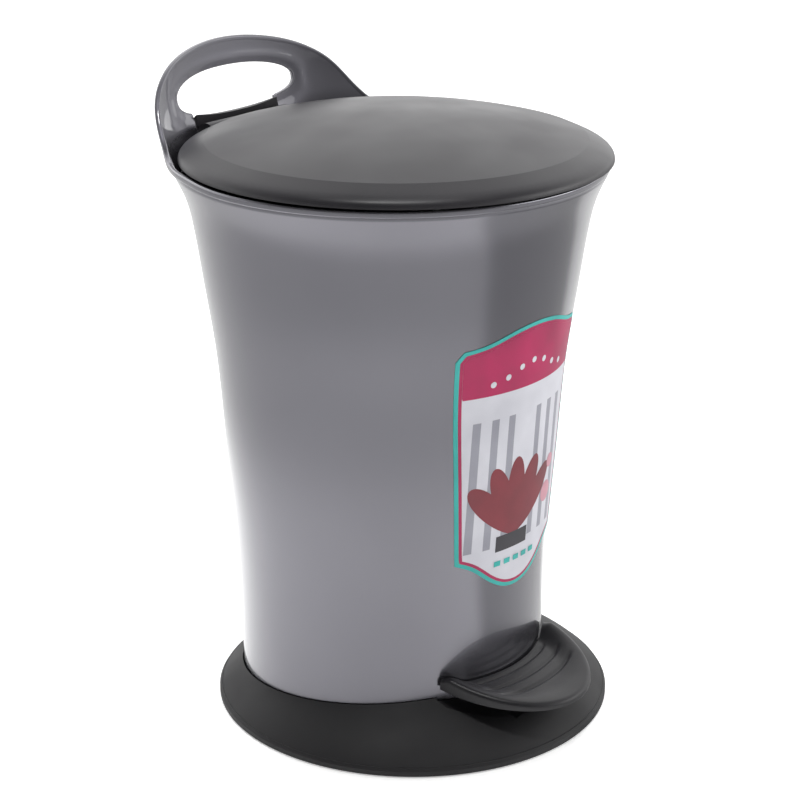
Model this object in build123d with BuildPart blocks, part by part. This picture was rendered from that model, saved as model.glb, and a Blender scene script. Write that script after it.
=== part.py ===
from build123d import *
from math import atan2, cos, degrees, radians, sin, sqrt
import os

# A small kitchen pedal bin. Millimetres, +Z up. The origin is on the floor, on the axis of the
# round body. The pedal is at the front, towards -Y, and the handle and the hinge are at the back.

# Shared allowances: features overlap the wall that they grow from, and cuts run past what they cut
OVERLAP = 0.5
PAST = 5.0

# Outer body: a flared round wall, a raised floor and a band round the rim
BODY_WALL = 2.0
BODY_BOTTOM_Z = 5.3
BODY_OUTLINE = [
    (83.8, 5.3), (84.5, 50.0), (87.5, 104.0), (90.9, 152.0), (95.0, 203.0),
    (100.0, 238.0), (104.6, 269.0), (108.2, 284.0), (113.7, 297.0),
]
RIM_Z = 301.8
RIM_RADIUS = 113.7
RIM_BAND_WIDTH = 2.6
RIM_BAND_HEIGHT = 3.5
RIM_BAND_CORNER = 0.9
RIM_BAND_MIDDLE_RADIUS = 113.3
FLOOR_UNDERSIDE_Z = 44.0
FLOOR_THICKNESS = 2.0

# Rear handle panel: height, outer reach behind the axis and plan radius of each section
PANEL_WALL = 2.8
PANEL_SECTIONS = [
    (290.0, 110.7, 110.7), (299.0, 115.1, 115.1), (308.0, 118.4, 121.5), (317.0, 120.9, 128.5),
    (326.0, 122.6, 134.0), (335.0, 123.3, 136.5), (344.0, 123.5, 137.5), (353.0, 123.6, 138.0),
]
PANEL_ARC = 124.0
PANEL_TOP_EDGE = [(34.0, 347.0), (60.0, 337.5), (75.0, 324.0), (84.0, 310.0)]
PANEL_TOP_Z = 350.5
PANEL_FOOT = (101.0, 301.5)
PANEL_SKIRT_Z = 280.0
PANEL_BACK_Y = 140.0
GRIP_CENTRE_Z = 323.2
GRIP_HALF_WIDTH = 46.0
GRIP_HALF_HEIGHT = 11.8
GRIP_SQUARENESS = 2.3
GRIP_RING_POINTS = 24
GRIP_FRONT_Y = 60.0

# Hinge of the lid
HINGE_Y = 104.0
HINGE_Z = 303.5
HINGE_PIN_RADIUS = 2.0
HINGE_PIN_HALF_LENGTH = 31.4
HINGE_RUNNING_GAP = 0.05
NOTCH_HALF_WIDTH = 33.0
NOTCH_LOW_Z = 300.5
NOTCH_HIGH_Z = 318.5
NOTCH_DEPTH = 20.0
DRUM_HALF_WIDTH = 31.8
DRUM_RADIUS = 12.5
DRUM_CLEARANCE = 0.35
DRUM_HOLLOW_RADIUS = 5.2
DRUM_TOP_Z = 313.6
DRUM_HUB_RADIUS = 6.6
DRUM_OPENING = 7.0
DRUM_CHEEK = 4.0
DRUM_MOUTH_HIGH_Z = 306.5
DRUM_MOUTH_LOW_Z = 288.0
CREST_FRONT_Y = 110.9
VALLEY_FLOOR_Z = 305.0
EAR_X = 21.5
EAR_THICKNESS = 4.0
EAR_BOSS_RADIUS = 4.2
EAR_NECK = [
    (94.0, 303.6), (88.5, 300.0), (88.5, 287.0), (94.0, 275.0), (101.8, 275.0),
    (104.3, 284.0), (105.0, 289.4), (94.5, 289.4), (94.3, 299.5), (101.0, 301.0),
]
EAR_BOSS_HALF = 4.0

# Lid
LID_CENTRE_Y = -3.5
LID_EDGE_Z = 303.2
LID_RADIUS = 113.8
LID_SIDE_Z = 307.4
LID_SHOULDER = (109.8, 308.5)
LID_CREASE = (100.4, 312.8)
LID_APEX_Z = 326.5
LID_WALL = 2.4
LID_INNER_SIDE_Z = 305.4
LID_INNER_SHOULDER = (108.2, 306.2)
LID_INNER_CREASE = (99.8, 310.4)
BUMPER_CIRCLE = 109.6
BUMPER_FIRST_ANGLE = 230.0
BUMPER_SPREAD = 80.0
BUMPER_RADIUS = 1.9
BUMPER_LOW_Z = 302.1
BUMPER_HEIGHT = 2.6
BUMPER_BOSS_RADIUS = 2.9
BUMPER_BOSS_TOP_Z = 306.2
NOSE_HALF_WIDTH = 4.0
NOSE_RADIUS = 4.0
NOSE_ARM = 17.65
NOSE_ARM_TOP = [(97.0, 311.2), (104.0, 309.0), (105.2, 301.3)]
LID_TRAVEL = 55.0

# Plinth: a dome of revolution about an axis in front of the body's
PLINTH_CENTRE_Y = -15.2
PLINTH_RADIUS = 108.7
PLINTH_BOTTOM_Z = 0.8
PLINTH_DOME = [(108.7, 3.5), (99.2, 12.2), (85.4, 20.7), (68.8, 29.2)]
PLINTH_INNER_DOME = [(107.0, 2.9), (97.0, 11.1), (82.7, 19.1), (65.6, 27.1)]
PLINTH_CROWN_RADIUS = 60.0
PLINTH_CROWN_Z = 32.7
PLINTH_INNER_CROWN_Z = 30.2
PLINTH_WALL = 2.4
PLINTH_WEB_Z = 2.8
PLINTH_BORE_RADIUS = 84.7
PLINTH_OPENING_RADIUS = 58.0
SCREW_OFFSET = 49.5
SCREW_BOSS_RADIUS = 5.0
SCREW_PILOT_RADIUS = 1.7
SCREW_PILOT_TOP_Z = 20.0
SCREW_SHANK_RADIUS = 1.65
SCREW_HOLE_RADIUS = 2.0
SCREW_HEAD_RADIUS = 3.6
SCREW_HEAD_HEIGHT = 1.6
SCREW_TIP_Z = 18.0
SCREW_RECESS_LENGTH = 3.6
SCREW_RECESS_WIDTH = 0.9
FOOT_OUTER_RADIUS = 101.0
FOOT_INNER_RADIUS = 94.0

# Pedal: a D in plan, sloping down towards its tip
PEDAL_BACK_RADIUS = 85.3
PEDAL_HALF_WIDTH = 47.0
PEDAL_BACK_Y = -72.6
PEDAL_TIP_Y = -128.0
PEDAL_RIM_WIDTH = 4.0
PEDAL_RIM_BACK_Z = 41.0
PEDAL_RIM_TIP_Z = 29.0
PEDAL_BASE_BACK_Z = 33.0
PEDAL_BASE_TIP_Z = 25.8
PEDAL_BLANK_Z = (20.0, 50.0)
TREAD_BACK_Z = 34.5
TREAD_TIP_Z = 28.2
TREAD_THICKNESS = 3.5
GROOVE_WIDTH = 1.6
GROOVE_DEPTH = 0.9
GROOVES = [(-92.5, 15.0), (-101.0, 21.0), (-110.5, 25.0)]
GROOVE_BOW_RADIUS = 60.0
PEDAL_TRAVEL = 8.0
RECESS_GAP = 1.0
RECESS_CEILING_Z = 60.0
POCKET_HALF_WIDTH = 22.5
POCKET_FRONT_Y = -105.0
POCKET_BACK_Y = -60.0
POCKET_FLOOR_Z = 10.0

# Lever and its axle
AXLE_Y = -40.0
AXLE_Z = 26.0
AXLE_RADIUS = 2.5
AXLE_HALF_LENGTH = 30.5
AXLE_RUNNING_GAP = 0.05
LUG_X = 25.5
LUG_THICKNESS = 5.0
LUG_RADIUS = 6.5
HUB_RADIUS = 6.0
HUB_HALF_LENGTH = 22.4
LEVER_THICKNESS = 2.6
LEVER_FRONT_HALF_WIDTH = 19.0
LEVER_REAR_HALF_WIDTH = 10.0
LEVER_FRONT_Y = -101.0
LEVER_BEND_Y = -84.0
LEVER_WEB_Y = -28.0
LEVER_HUB_HALF_DEPTH = 4.0
RIDGE_Y = 76.0
RIDGE_Z = 12.5
RIDGE_RADIUS = 4.2
RIDGE_HALF_DEPTH = 3.9
SLOT_HALF_WIDTH = 21.0
SLOT_LOW_Z = 17.5
SLOT_HIGH_Z = 30.7
SLOT_CORNER = 2.0
SLOT_BACK_Y = -60.0
PEDAL_SCREW_X = 11.0
PEDAL_SCREW_Y = -94.5
PEDAL_SCREW_RADIUS = 1.5
PEDAL_SCREW_GAP = 0.05
PEDAL_SCREW_COVER = 1.4
PEDAL_SCREW_TIP_COVER = 1.6
PEDAL_SCREW_HEAD_RADIUS = 3.0
PEDAL_SCREW_HEAD = 1.4
CLIP_THICKNESS = 1.2
CLIP_RADIUS = 5.0

# Push rod with its shoe, cap, bush and guide
ROD_RADIUS = 2.0
ROD_FOOT_Z = 17.0
ROD_TIP_Z = 290.85
ROD_CAP_RADIUS = 5.0
ROD_TIP_RADIUS = 3.2
ROD_CAP_HEIGHT = 7.0
ROD_CAP_FLOOR = 2.0
ROD_GUIDE_GAP = 0.25
BUSH_RADIUS = 3.6
BUSH_FLANGE_RADIUS = 5.0
BUSH_FLANGE = 1.5
BUSH_NECK = 4.0
BUSH_TILT_ROOM = 0.4
GUIDE_Z = 236.0
GUIDE_HEIGHT = 9.0
GUIDE_RADIUS = 4.6
GUIDE_HALF_WIDTH = 3.5
GUIDE_REACH = 24.0
GUIDE_WALL_GAP = 0.02

# Inner bucket and its bail
BUCKET_CENTRE_Y = -9.0
BUCKET_BASE_RADIUS = 70.0
BUCKET_TOP_RADIUS = 90.0
BUCKET_TOP_Z = 283.0
BUCKET_WALL = 1.8
BUCKET_DRAFT = 0.5
BUCKET_LIP = 3.5
BUCKET_LIP_HEIGHT = 3.0
BUCKET_FOOT_HEIGHT = 4.0
BAIL_Z = 288.0
BAIL_RADIUS = 91.0
BAIL_WIRE_RADIUS = 1.5
BAIL_RUNNING_GAP = 0.08
BAIL_EAR_X = 94.5
BAIL_EAR_THICKNESS = 3.0
BAIL_EAR_HALF_WIDTH = 5.0
BAIL_END_X = 98.0
BAIL_GRIP_RADIUS = 4.0
BAIL_GRIP_HALF_ANGLE = 24.0

# Front sticker: half of its outline about its centre line, from the crown and from the foot
LABEL_CENTRE_X = -1.5
LABEL_GAP = 0.1
LABEL_THICKNESS = 0.25
LABEL_CROWN = [(0.0, 232.6), (9.0, 232.0), (20.0, 229.8), (33.0, 225.8), (45.0, 223.6)]
LABEL_SHOULDER = (48.5, 218.5)
LABEL_FOOT = [(40.0, 103.3), (31.0, 98.8), (20.0, 90.2), (8.0, 83.9), (0.0, 82.8)]
LABEL_BACK_Y = -60.0


# Derived places
FLOOR_TOP_Z = FLOOR_UNDERSIDE_Z + FLOOR_THICKNESS
NOSE_ANGLE = radians(LID_TRAVEL / 2)
NOSE_Y = HINGE_Y - NOSE_ARM * cos(NOSE_ANGLE)
NOSE_Z = HINGE_Z - NOSE_ARM * sin(NOSE_ANGLE)
ROD_LEAN = atan2(NOSE_Y - RIDGE_Y, ROD_TIP_Z - ROD_FOOT_Z)
ROD_LENGTH = sqrt((NOSE_Y - RIDGE_Y) ** 2 + (ROD_TIP_Z - ROD_FOOT_Z) ** 2)
BODY_PLANE = Plane.XZ
SIDE_PLANE = Plane.YZ
LID_PLANE = Plane((0, LID_CENTRE_Y, 0), x_dir=(1, 0, 0), z_dir=(0, -1, 0))
LID_AXIS = Axis((0, LID_CENTRE_Y, 0), (0, 0, 1))
PLINTH_PLANE = Plane((0, PLINTH_CENTRE_Y, 0), x_dir=(1, 0, 0), z_dir=(0, -1, 0))
PLINTH_AXIS = Axis((0, PLINTH_CENTRE_Y, 0), (0, 0, 1))
BUCKET_PLANE = Plane((0, BUCKET_CENTRE_Y, 0), x_dir=(1, 0, 0), z_dir=(0, -1, 0))
BUCKET_AXIS = Axis((0, BUCKET_CENTRE_Y, 0), (0, 0, 1))


def rod_plane(distance):
    """Plane square to the push rod, at a distance up the rod from its lower end."""
    y = RIDGE_Y + distance * sin(ROD_LEAN)
    z = ROD_FOOT_Z + distance * cos(ROD_LEAN)
    return Plane((0, y, z), x_dir=(1, 0, 0), z_dir=(0, sin(ROD_LEAN), cos(ROD_LEAN)))


def dome_middle(crease, apex_z):
    """Point halfway out along the sphere that rises from a crease to an apex on the axis."""
    reach, crease_z = crease
    rise = apex_z - crease_z
    radius = (reach ** 2 + rise ** 2) / (2 * rise)
    return (reach / 2, apex_z - radius + sqrt(radius ** 2 - (reach / 2) ** 2))


def tread_top(y):
    """Height of the middle of the pedal's tread at a distance y along the bin."""
    slope = (TREAD_BACK_Z - TREAD_TIP_Z) / (PEDAL_BACK_Y - PEDAL_TIP_Y)
    return TREAD_TIP_Z + slope * (y - PEDAL_TIP_Y)


def pedal_outline(inset):
    """Half-ellipse of the pedal in plan, drawn in by an inset, closed behind the wall's face."""
    half = PEDAL_HALF_WIDTH - inset
    depth = PEDAL_BACK_Y - PEDAL_TIP_Y - inset
    back = PEDAL_BACK_Y
    closed_y = back + 4 * PAST
    bow = EllipticalCenterArc((0, back), half, depth, start_angle=180, arc_size=180)
    Polyline((half, back), (half, closed_y), (-half, closed_y), (-half, back))
    return bow


def pressed(y, z):
    """Place in the side plane that a point of the pedal reaches when the pedal is pressed down."""
    turn = radians(PEDAL_TRAVEL)
    dy, dz = y - AXLE_Y, z - AXLE_Z
    return (AXLE_Y + dy * cos(turn) - dz * sin(turn), AXLE_Z + dy * sin(turn) + dz * cos(turn))


def pressed_pedal_space(margin):
    """Space above the underside of the pressed pedal, grown by a margin."""
    ceiling = RECESS_CEILING_Z
    with BuildPart() as space:
        with BuildSketch():
            with BuildLine():
                pedal_outline(-margin)
            make_face()
        extrude(amount=ceiling)
        with BuildSketch(SIDE_PLANE.offset(-ceiling)):
            with BuildLine():
                near_y, near_z = pressed(PEDAL_BACK_Y, tread_top(PEDAL_BACK_Y) - TREAD_THICKNESS)
                far_y, far_z = pressed(PEDAL_TIP_Y, tread_top(PEDAL_TIP_Y) - TREAD_THICKNESS)
                Polyline(
                    (0, near_z - margin), (near_y, near_z - margin), (far_y, far_z - margin),
                    (far_y - ceiling, far_z - margin), (far_y - ceiling, ceiling), (0, ceiling),
                    close=True,
                )
            make_face()
        extrude(amount=2 * ceiling, mode=Mode.INTERSECT)
    return space.part


# Grip opening: a squarish ellipse cut through the handle panel, which dips into the drum's crest
with BuildPart() as grip_space:
    with BuildSketch(Plane.XZ.offset(-GRIP_FRONT_Y)):
        with BuildLine():
            power = 2 / GRIP_SQUARENESS
            ring = []
            for step in range(GRIP_RING_POINTS):
                angle = radians(360 / GRIP_RING_POINTS * step)
                x_sign = 1 if cos(angle) >= 0 else -1
                z_sign = 1 if sin(angle) >= 0 else -1
                x_part = GRIP_HALF_WIDTH * x_sign * abs(cos(angle)) ** power
                z_part = GRIP_HALF_HEIGHT * z_sign * abs(sin(angle)) ** power
                ring.append((x_part, GRIP_CENTRE_Z + z_part))
            Spline(*ring, periodic=True)
        make_face()
    extrude(amount=GRIP_FRONT_Y - PANEL_BACK_Y)


# Outer body
with BuildPart() as outer_body:
    # handle panel, lofted through arcs that open out as they rise, then cut to its outline
    for height, reach, plan_radius in PANEL_SECTIONS:
        with BuildSketch(Plane((0, reach - plan_radius, height))):
            with BuildLine():
                start = 90 - PANEL_ARC / 2
                back = CenterArc((0, 0), plan_radius, start, PANEL_ARC)
                front = CenterArc((0, 0), plan_radius - PANEL_WALL, start, PANEL_ARC)
                Line(back @ 0, front @ 0)
                Line(back @ 1, front @ 1)
            make_face()
    loft()
    with BuildSketch(Plane.XZ):
        with BuildLine():
            right = [(0, PANEL_TOP_Z)] + PANEL_TOP_EDGE + [PANEL_FOOT]
            left = [(-x, z) for x, z in right]
            Spline(*right, tangents=[(1, 0), (1, 0)])
            Spline(*left, tangents=[(-1, 0), (-1, 0)])
            foot_x, foot_z = PANEL_FOOT
            Polyline(
                (foot_x, foot_z), (foot_x, PANEL_SKIRT_Z), (-foot_x, PANEL_SKIRT_Z), (-foot_x, foot_z),
            )
        make_face()
    extrude(amount=-PANEL_BACK_Y, mode=Mode.INTERSECT)
    # wall and the band round its rim
    with BuildSketch(BODY_PLANE):
        with BuildLine():
            outside = Spline(*BODY_OUTLINE)
            inside = Spline(*[(r - BODY_WALL, z) for r, z in BODY_OUTLINE])
            Polyline(outside @ 1, (RIM_RADIUS, RIM_Z), (RIM_RADIUS - BODY_WALL, RIM_Z), inside @ 1)
            Line(outside @ 0, inside @ 0)
        make_face()
        with Locations((RIM_BAND_MIDDLE_RADIUS, RIM_Z - RIM_BAND_HEIGHT / 2)):
            RectangleRounded(RIM_BAND_WIDTH, RIM_BAND_HEIGHT, RIM_BAND_CORNER)
    revolve(axis=Axis.Z)
    # raised floor that the bucket stands on
    with BuildSketch(Plane.XY.offset(FLOOR_UNDERSIDE_Z)):
        Circle(BODY_OUTLINE[1][0] - BODY_WALL / 2)
    extrude(amount=FLOOR_THICKNESS)
    # bosses for the plinth's screws and lugs for the lever's axle
    with BuildSketch(Plane.XY.offset(BODY_BOTTOM_Z)):
        with GridLocations(2 * SCREW_OFFSET, 2 * SCREW_OFFSET, 2, 2):
            Circle(SCREW_BOSS_RADIUS)
    extrude(amount=FLOOR_UNDERSIDE_Z - BODY_BOTTOM_Z + OVERLAP)
    for side in (-1, 1):
        with BuildSketch(SIDE_PLANE.offset(side * LUG_X - LUG_THICKNESS / 2)):
            lug_top_z = FLOOR_UNDERSIDE_Z + OVERLAP
            with Locations((AXLE_Y, AXLE_Z)):
                Circle(LUG_RADIUS)
            with Locations((AXLE_Y, (AXLE_Z + lug_top_z) / 2)):
                Rectangle(2 * LUG_RADIUS, lug_top_z - AXLE_Z)
        extrude(amount=LUG_THICKNESS)
    add(grip_space.part, mode=Mode.SUBTRACT)
    # notch that the hinge drum turns in
    with BuildSketch(SIDE_PLANE.offset(-NOTCH_HALF_WIDTH)):
        with Locations((HINGE_Y, HINGE_Z)):
            Circle(DRUM_RADIUS + DRUM_CLEARANCE)
        with Locations((HINGE_Y + NOTCH_DEPTH / 2, (NOTCH_LOW_Z + NOTCH_HIGH_Z) / 2)):
            Rectangle(NOTCH_DEPTH, NOTCH_HIGH_Z - NOTCH_LOW_Z)
    extrude(amount=2 * NOTCH_HALF_WIDTH, mode=Mode.SUBTRACT)
    # swan-necked ears that carry the lid's pin inside its hinge drum
    for side in (-1, 1):
        with BuildSketch(SIDE_PLANE.offset(side * EAR_X - EAR_THICKNESS / 2)):
            with Locations((HINGE_Y, HINGE_Z)):
                Circle(EAR_BOSS_RADIUS)
            with BuildLine():
                boss_top = (HINGE_Y, HINGE_Z + EAR_BOSS_HALF)
                boss_foot = (HINGE_Y, HINGE_Z - EAR_BOSS_HALF)
                Polyline(boss_top, *EAR_NECK, boss_foot, close=True)
            make_face()
        extrude(amount=EAR_THICKNESS)
    # pin holes, lever slot and the hole for the rod's bush
    for y, z, radius, half in (
        (HINGE_Y, HINGE_Z, HINGE_PIN_RADIUS, NOTCH_HALF_WIDTH),
        (AXLE_Y, AXLE_Z, AXLE_RADIUS, AXLE_HALF_LENGTH),
    ):
        with BuildSketch(SIDE_PLANE.offset(-half)):
            with Locations((y, z)):
                Circle(radius)
        extrude(amount=2 * half, mode=Mode.SUBTRACT)
    with BuildSketch(Plane.XZ.offset(-SLOT_BACK_Y)):
        with Locations((0, (SLOT_LOW_Z + SLOT_HIGH_Z) / 2)):
            RectangleRounded(2 * SLOT_HALF_WIDTH, SLOT_HIGH_Z - SLOT_LOW_Z, SLOT_CORNER)
    extrude(amount=BODY_OUTLINE[0][0] + SLOT_BACK_Y + 2 * PAST, mode=Mode.SUBTRACT)
    with BuildSketch(rod_plane(FLOOR_UNDERSIDE_Z - ROD_FOOT_Z - PAST)):
        Circle(BUSH_RADIUS)
    extrude(amount=FLOOR_THICKNESS + 2 * PAST, mode=Mode.SUBTRACT)
    with BuildSketch(Plane.XY.offset(BODY_BOTTOM_Z)):
        with GridLocations(2 * SCREW_OFFSET, 2 * SCREW_OFFSET, 2, 2):
            Circle(SCREW_PILOT_RADIUS)
    extrude(amount=SCREW_PILOT_TOP_Z - BODY_BOTTOM_Z, mode=Mode.SUBTRACT)

# Pins, axle and their retaining washers
with BuildPart() as hinge_pin:
    with BuildSketch(SIDE_PLANE.offset(-HINGE_PIN_HALF_LENGTH)):
        with Locations((HINGE_Y, HINGE_Z)):
            Circle(HINGE_PIN_RADIUS)
    extrude(amount=2 * HINGE_PIN_HALF_LENGTH)

with BuildPart() as pedal_axle:
    with BuildSketch(SIDE_PLANE.offset(-AXLE_HALF_LENGTH)):
        with Locations((AXLE_Y, AXLE_Z)):
            Circle(AXLE_RADIUS)
    extrude(amount=2 * AXLE_HALF_LENGTH)

with BuildPart() as hinge_clips:
    outer_face = EAR_X + EAR_THICKNESS / 2
    for start in (outer_face, -outer_face - CLIP_THICKNESS):
        with BuildSketch(SIDE_PLANE.offset(start)):
            with Locations((HINGE_Y, HINGE_Z)):
                Circle(EAR_BOSS_RADIUS)
                Circle(HINGE_PIN_RADIUS, mode=Mode.SUBTRACT)
        extrude(amount=CLIP_THICKNESS)

with BuildPart() as axle_clips:
    outer_face = LUG_X + LUG_THICKNESS / 2
    for start in (outer_face, -outer_face - CLIP_THICKNESS):
        with BuildSketch(SIDE_PLANE.offset(start)):
            with Locations((AXLE_Y, AXLE_Z)):
                Circle(CLIP_RADIUS)
                Circle(AXLE_RADIUS, mode=Mode.SUBTRACT)
        extrude(amount=CLIP_THICKNESS)


# Lid: a domed shell of revolution with the hinge drum on its rear edge
with BuildPart() as drum_envelope:
    # the space inside the outer face of the handle panel, as far up as the drum goes
    with BuildSketch(BODY_PLANE):
        with BuildLine():
            low_z, high_z = PANEL_SECTIONS[0][0], PANEL_SECTIONS[3][0]
            face = Spline(*[(reach, height) for height, reach, _ in PANEL_SECTIONS[:4]])
            Polyline(face @ 0, (0, low_z), (0, high_z), face @ 1)
        make_face()
    revolve(axis=Axis.Z)

with BuildPart() as lid_shell:
    # drum that closes the notch, flush with the handle panel
    with BuildSketch(SIDE_PLANE.offset(-DRUM_HALF_WIDTH)):
        with Locations((HINGE_Y, HINGE_Z)):
            Circle(DRUM_RADIUS)
        with Locations((HINGE_Y, DRUM_TOP_Z + DRUM_RADIUS)):
            Rectangle(4 * DRUM_RADIUS, 2 * DRUM_RADIUS, mode=Mode.SUBTRACT)
    extrude(amount=2 * DRUM_HALF_WIDTH)
    add(drum_envelope.part, mode=Mode.INTERSECT)
    add(grip_space.part, mode=Mode.SUBTRACT)
    # valley between the dome and the drum's standing crest
    with BuildSketch(SIDE_PLANE.offset(-DRUM_HALF_WIDTH)):
        with Locations((CREST_FRONT_Y - DRUM_RADIUS, VALLEY_FLOOR_Z + DRUM_RADIUS)):
            Rectangle(2 * DRUM_RADIUS, 2 * DRUM_RADIUS)
        with Locations((HINGE_Y, HINGE_Z)):
            Circle(DRUM_HUB_RADIUS, mode=Mode.SUBTRACT)
    extrude(amount=2 * DRUM_HALF_WIDTH, mode=Mode.SUBTRACT)
    # dome and its turned-down side
    with BuildSketch(LID_PLANE):
        with BuildLine():
            inner_radius = LID_RADIUS - LID_WALL
            inner_apex_z = LID_APEX_Z - LID_WALL
            side = Bezier((LID_RADIUS, LID_EDGE_Z), (LID_RADIUS, LID_SIDE_Z), LID_SHOULDER, LID_CREASE)
            inner_side = Bezier(
                (inner_radius, LID_EDGE_Z), (inner_radius, LID_INNER_SIDE_Z),
                LID_INNER_SHOULDER, LID_INNER_CREASE,
            )
            ThreePointArc(LID_CREASE, dome_middle(LID_CREASE, LID_APEX_Z), (0, LID_APEX_Z))
            inner_middle = dome_middle(LID_INNER_CREASE, inner_apex_z)
            ThreePointArc(LID_INNER_CREASE, inner_middle, (0, inner_apex_z))
            Line(side @ 0, inner_side @ 0)
            Line((0, LID_APEX_Z), (0, inner_apex_z))
        make_face()
    revolve(axis=LID_AXIS)
    # bosses for the bumpers
    with BuildSketch(Plane((0, LID_CENTRE_Y, LID_EDGE_Z))):
        with PolarLocations(
            BUMPER_CIRCLE, 3, start_angle=BUMPER_FIRST_ANGLE, angular_range=BUMPER_SPREAD, rotate=False
        ):
            Circle(BUMPER_BOSS_RADIUS)
    extrude(amount=BUMPER_BOSS_TOP_Z - LID_EDGE_Z)
    with BuildSketch(Plane((0, LID_CENTRE_Y, BUMPER_LOW_Z))):
        with PolarLocations(
            BUMPER_CIRCLE, 3, start_angle=BUMPER_FIRST_ANGLE, angular_range=BUMPER_SPREAD, rotate=False
        ):
            Circle(BUMPER_RADIUS)
    extrude(amount=BUMPER_HEIGHT, mode=Mode.SUBTRACT)
    # hollow of the drum, open downwards and forwards
    with BuildSketch(SIDE_PLANE.offset(DRUM_CHEEK - DRUM_HALF_WIDTH)):
        with Locations((HINGE_Y, HINGE_Z)):
            Circle(DRUM_HOLLOW_RADIUS)
        with Locations((HINGE_Y - NOTCH_DEPTH / 2, (DRUM_MOUTH_LOW_Z + DRUM_MOUTH_HIGH_Z) / 2)):
            Rectangle(NOTCH_DEPTH, DRUM_MOUTH_HIGH_Z - DRUM_MOUTH_LOW_Z)
        with BuildLine():
            Polyline(
                (HINGE_Y, HINGE_Z), (HINGE_Y, DRUM_MOUTH_LOW_Z),
                (HINGE_Y + DRUM_OPENING, DRUM_MOUTH_LOW_Z), close=True,
            )
        make_face()
    extrude(amount=2 * (DRUM_HALF_WIDTH - DRUM_CHEEK), mode=Mode.SUBTRACT)
    # arm with the nose that the push rod lifts, and its hub on the pin
    with BuildSketch(SIDE_PLANE.offset(-NOSE_HALF_WIDTH)):
        with Locations((NOSE_Y, NOSE_Z)):
            Circle(NOSE_RADIUS)
        with Locations((HINGE_Y, HINGE_Z)):
            Circle(EAR_BOSS_RADIUS)
        with BuildLine():
            Polyline(
                (NOSE_Y - 3.7, NOSE_Z + 1.5), (NOSE_Y - 1, 312.2), *NOSE_ARM_TOP,
                (NOSE_Y + 0.7, NOSE_Z - 1.4), close=True,
            )
        make_face()
    extrude(amount=2 * NOSE_HALF_WIDTH)
    with BuildSketch(SIDE_PLANE.offset(-DRUM_HALF_WIDTH)):
        with Locations((HINGE_Y, HINGE_Z)):
            Circle(HINGE_PIN_RADIUS + HINGE_RUNNING_GAP)
    extrude(amount=2 * DRUM_HALF_WIDTH, mode=Mode.SUBTRACT)

with BuildPart() as lid_bumpers:
    with BuildSketch(Plane((0, LID_CENTRE_Y, BUMPER_LOW_Z))):
        with PolarLocations(
            BUMPER_CIRCLE, 3, start_angle=BUMPER_FIRST_ANGLE, angular_range=BUMPER_SPREAD, rotate=False
        ):
            Circle(BUMPER_RADIUS)
    extrude(amount=BUMPER_HEIGHT)


# Plinth
with BuildPart() as plinth_dome:
    # full dome, used to trim the pedal pocket to the plinth's outer face
    with BuildSketch(PLINTH_PLANE):
        with BuildLine():
            bow = Spline(*PLINTH_DOME)
            Polyline(
                bow @ 1, (PLINTH_CROWN_RADIUS, PLINTH_CROWN_Z), (0, PLINTH_CROWN_Z),
                (0, PLINTH_BOTTOM_Z), (PLINTH_RADIUS, PLINTH_BOTTOM_Z), bow @ 0,
            )
        make_face()
    revolve(axis=PLINTH_AXIS)

with BuildPart() as pedal_pocket:
    with BuildSketch(Plane.XY.offset(POCKET_FLOOR_Z - PLINTH_WALL)):
        front_y = POCKET_FRONT_Y - PLINTH_WALL
        with Locations((0, (front_y + POCKET_BACK_Y) / 2)):
            Rectangle(2 * (POCKET_HALF_WIDTH + PLINTH_WALL), POCKET_BACK_Y - front_y)
    extrude(amount=RECESS_CEILING_Z)
    add(pressed_pedal_space(RECESS_GAP + PLINTH_WALL))
    add(plinth_dome.part, mode=Mode.INTERSECT)

with BuildPart() as base_plinth:
    add(plinth_dome.part)
    with BuildSketch(PLINTH_PLANE):
        with BuildLine():
            bow = Spline(*PLINTH_INNER_DOME)
            low_radius = PLINTH_RADIUS - PLINTH_WALL
            Polyline(
                bow @ 1, (PLINTH_CROWN_RADIUS, PLINTH_INNER_CROWN_Z), (0, PLINTH_INNER_CROWN_Z),
                (0, 0), (low_radius, 0), bow @ 0,
            )
        make_face()
    revolve(axis=PLINTH_AXIS, mode=Mode.SUBTRACT)
    with BuildSketch(Plane((0, PLINTH_CENTRE_Y, PLINTH_WEB_Z))):
        Circle(PLINTH_RADIUS - PLINTH_WALL / 2)
    extrude(amount=BODY_BOTTOM_Z - PLINTH_WEB_Z)
    add(pedal_pocket.part)
    # bore that the body drops into, the pocket for the lever and the recess for the pedal
    with BuildSketch(Plane.XY.offset(BODY_BOTTOM_Z)):
        Circle(PLINTH_BORE_RADIUS)
    extrude(amount=PLINTH_CROWN_Z, mode=Mode.SUBTRACT)
    with BuildSketch(Plane.XY.offset(POCKET_FLOOR_Z)):
        with Locations((0, (POCKET_FRONT_Y + POCKET_BACK_Y) / 2)):
            Rectangle(2 * POCKET_HALF_WIDTH, POCKET_BACK_Y - POCKET_FRONT_Y)
    extrude(amount=RECESS_CEILING_Z, mode=Mode.SUBTRACT)
    add(pressed_pedal_space(RECESS_GAP), mode=Mode.SUBTRACT)
    # opening under the mechanism and the screw holes
    with BuildSketch():
        Circle(PLINTH_OPENING_RADIUS)
        with GridLocations(2 * SCREW_OFFSET, 2 * SCREW_OFFSET, 2, 2):
            Circle(SCREW_HOLE_RADIUS)
    extrude(amount=BODY_BOTTOM_Z, mode=Mode.SUBTRACT)

with BuildPart() as foot_ring:
    with BuildSketch(Plane((0, PLINTH_CENTRE_Y, 0))):
        Circle(FOOT_OUTER_RADIUS)
        Circle(FOOT_INNER_RADIUS, mode=Mode.SUBTRACT)
    extrude(amount=PLINTH_WEB_Z)

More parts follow.
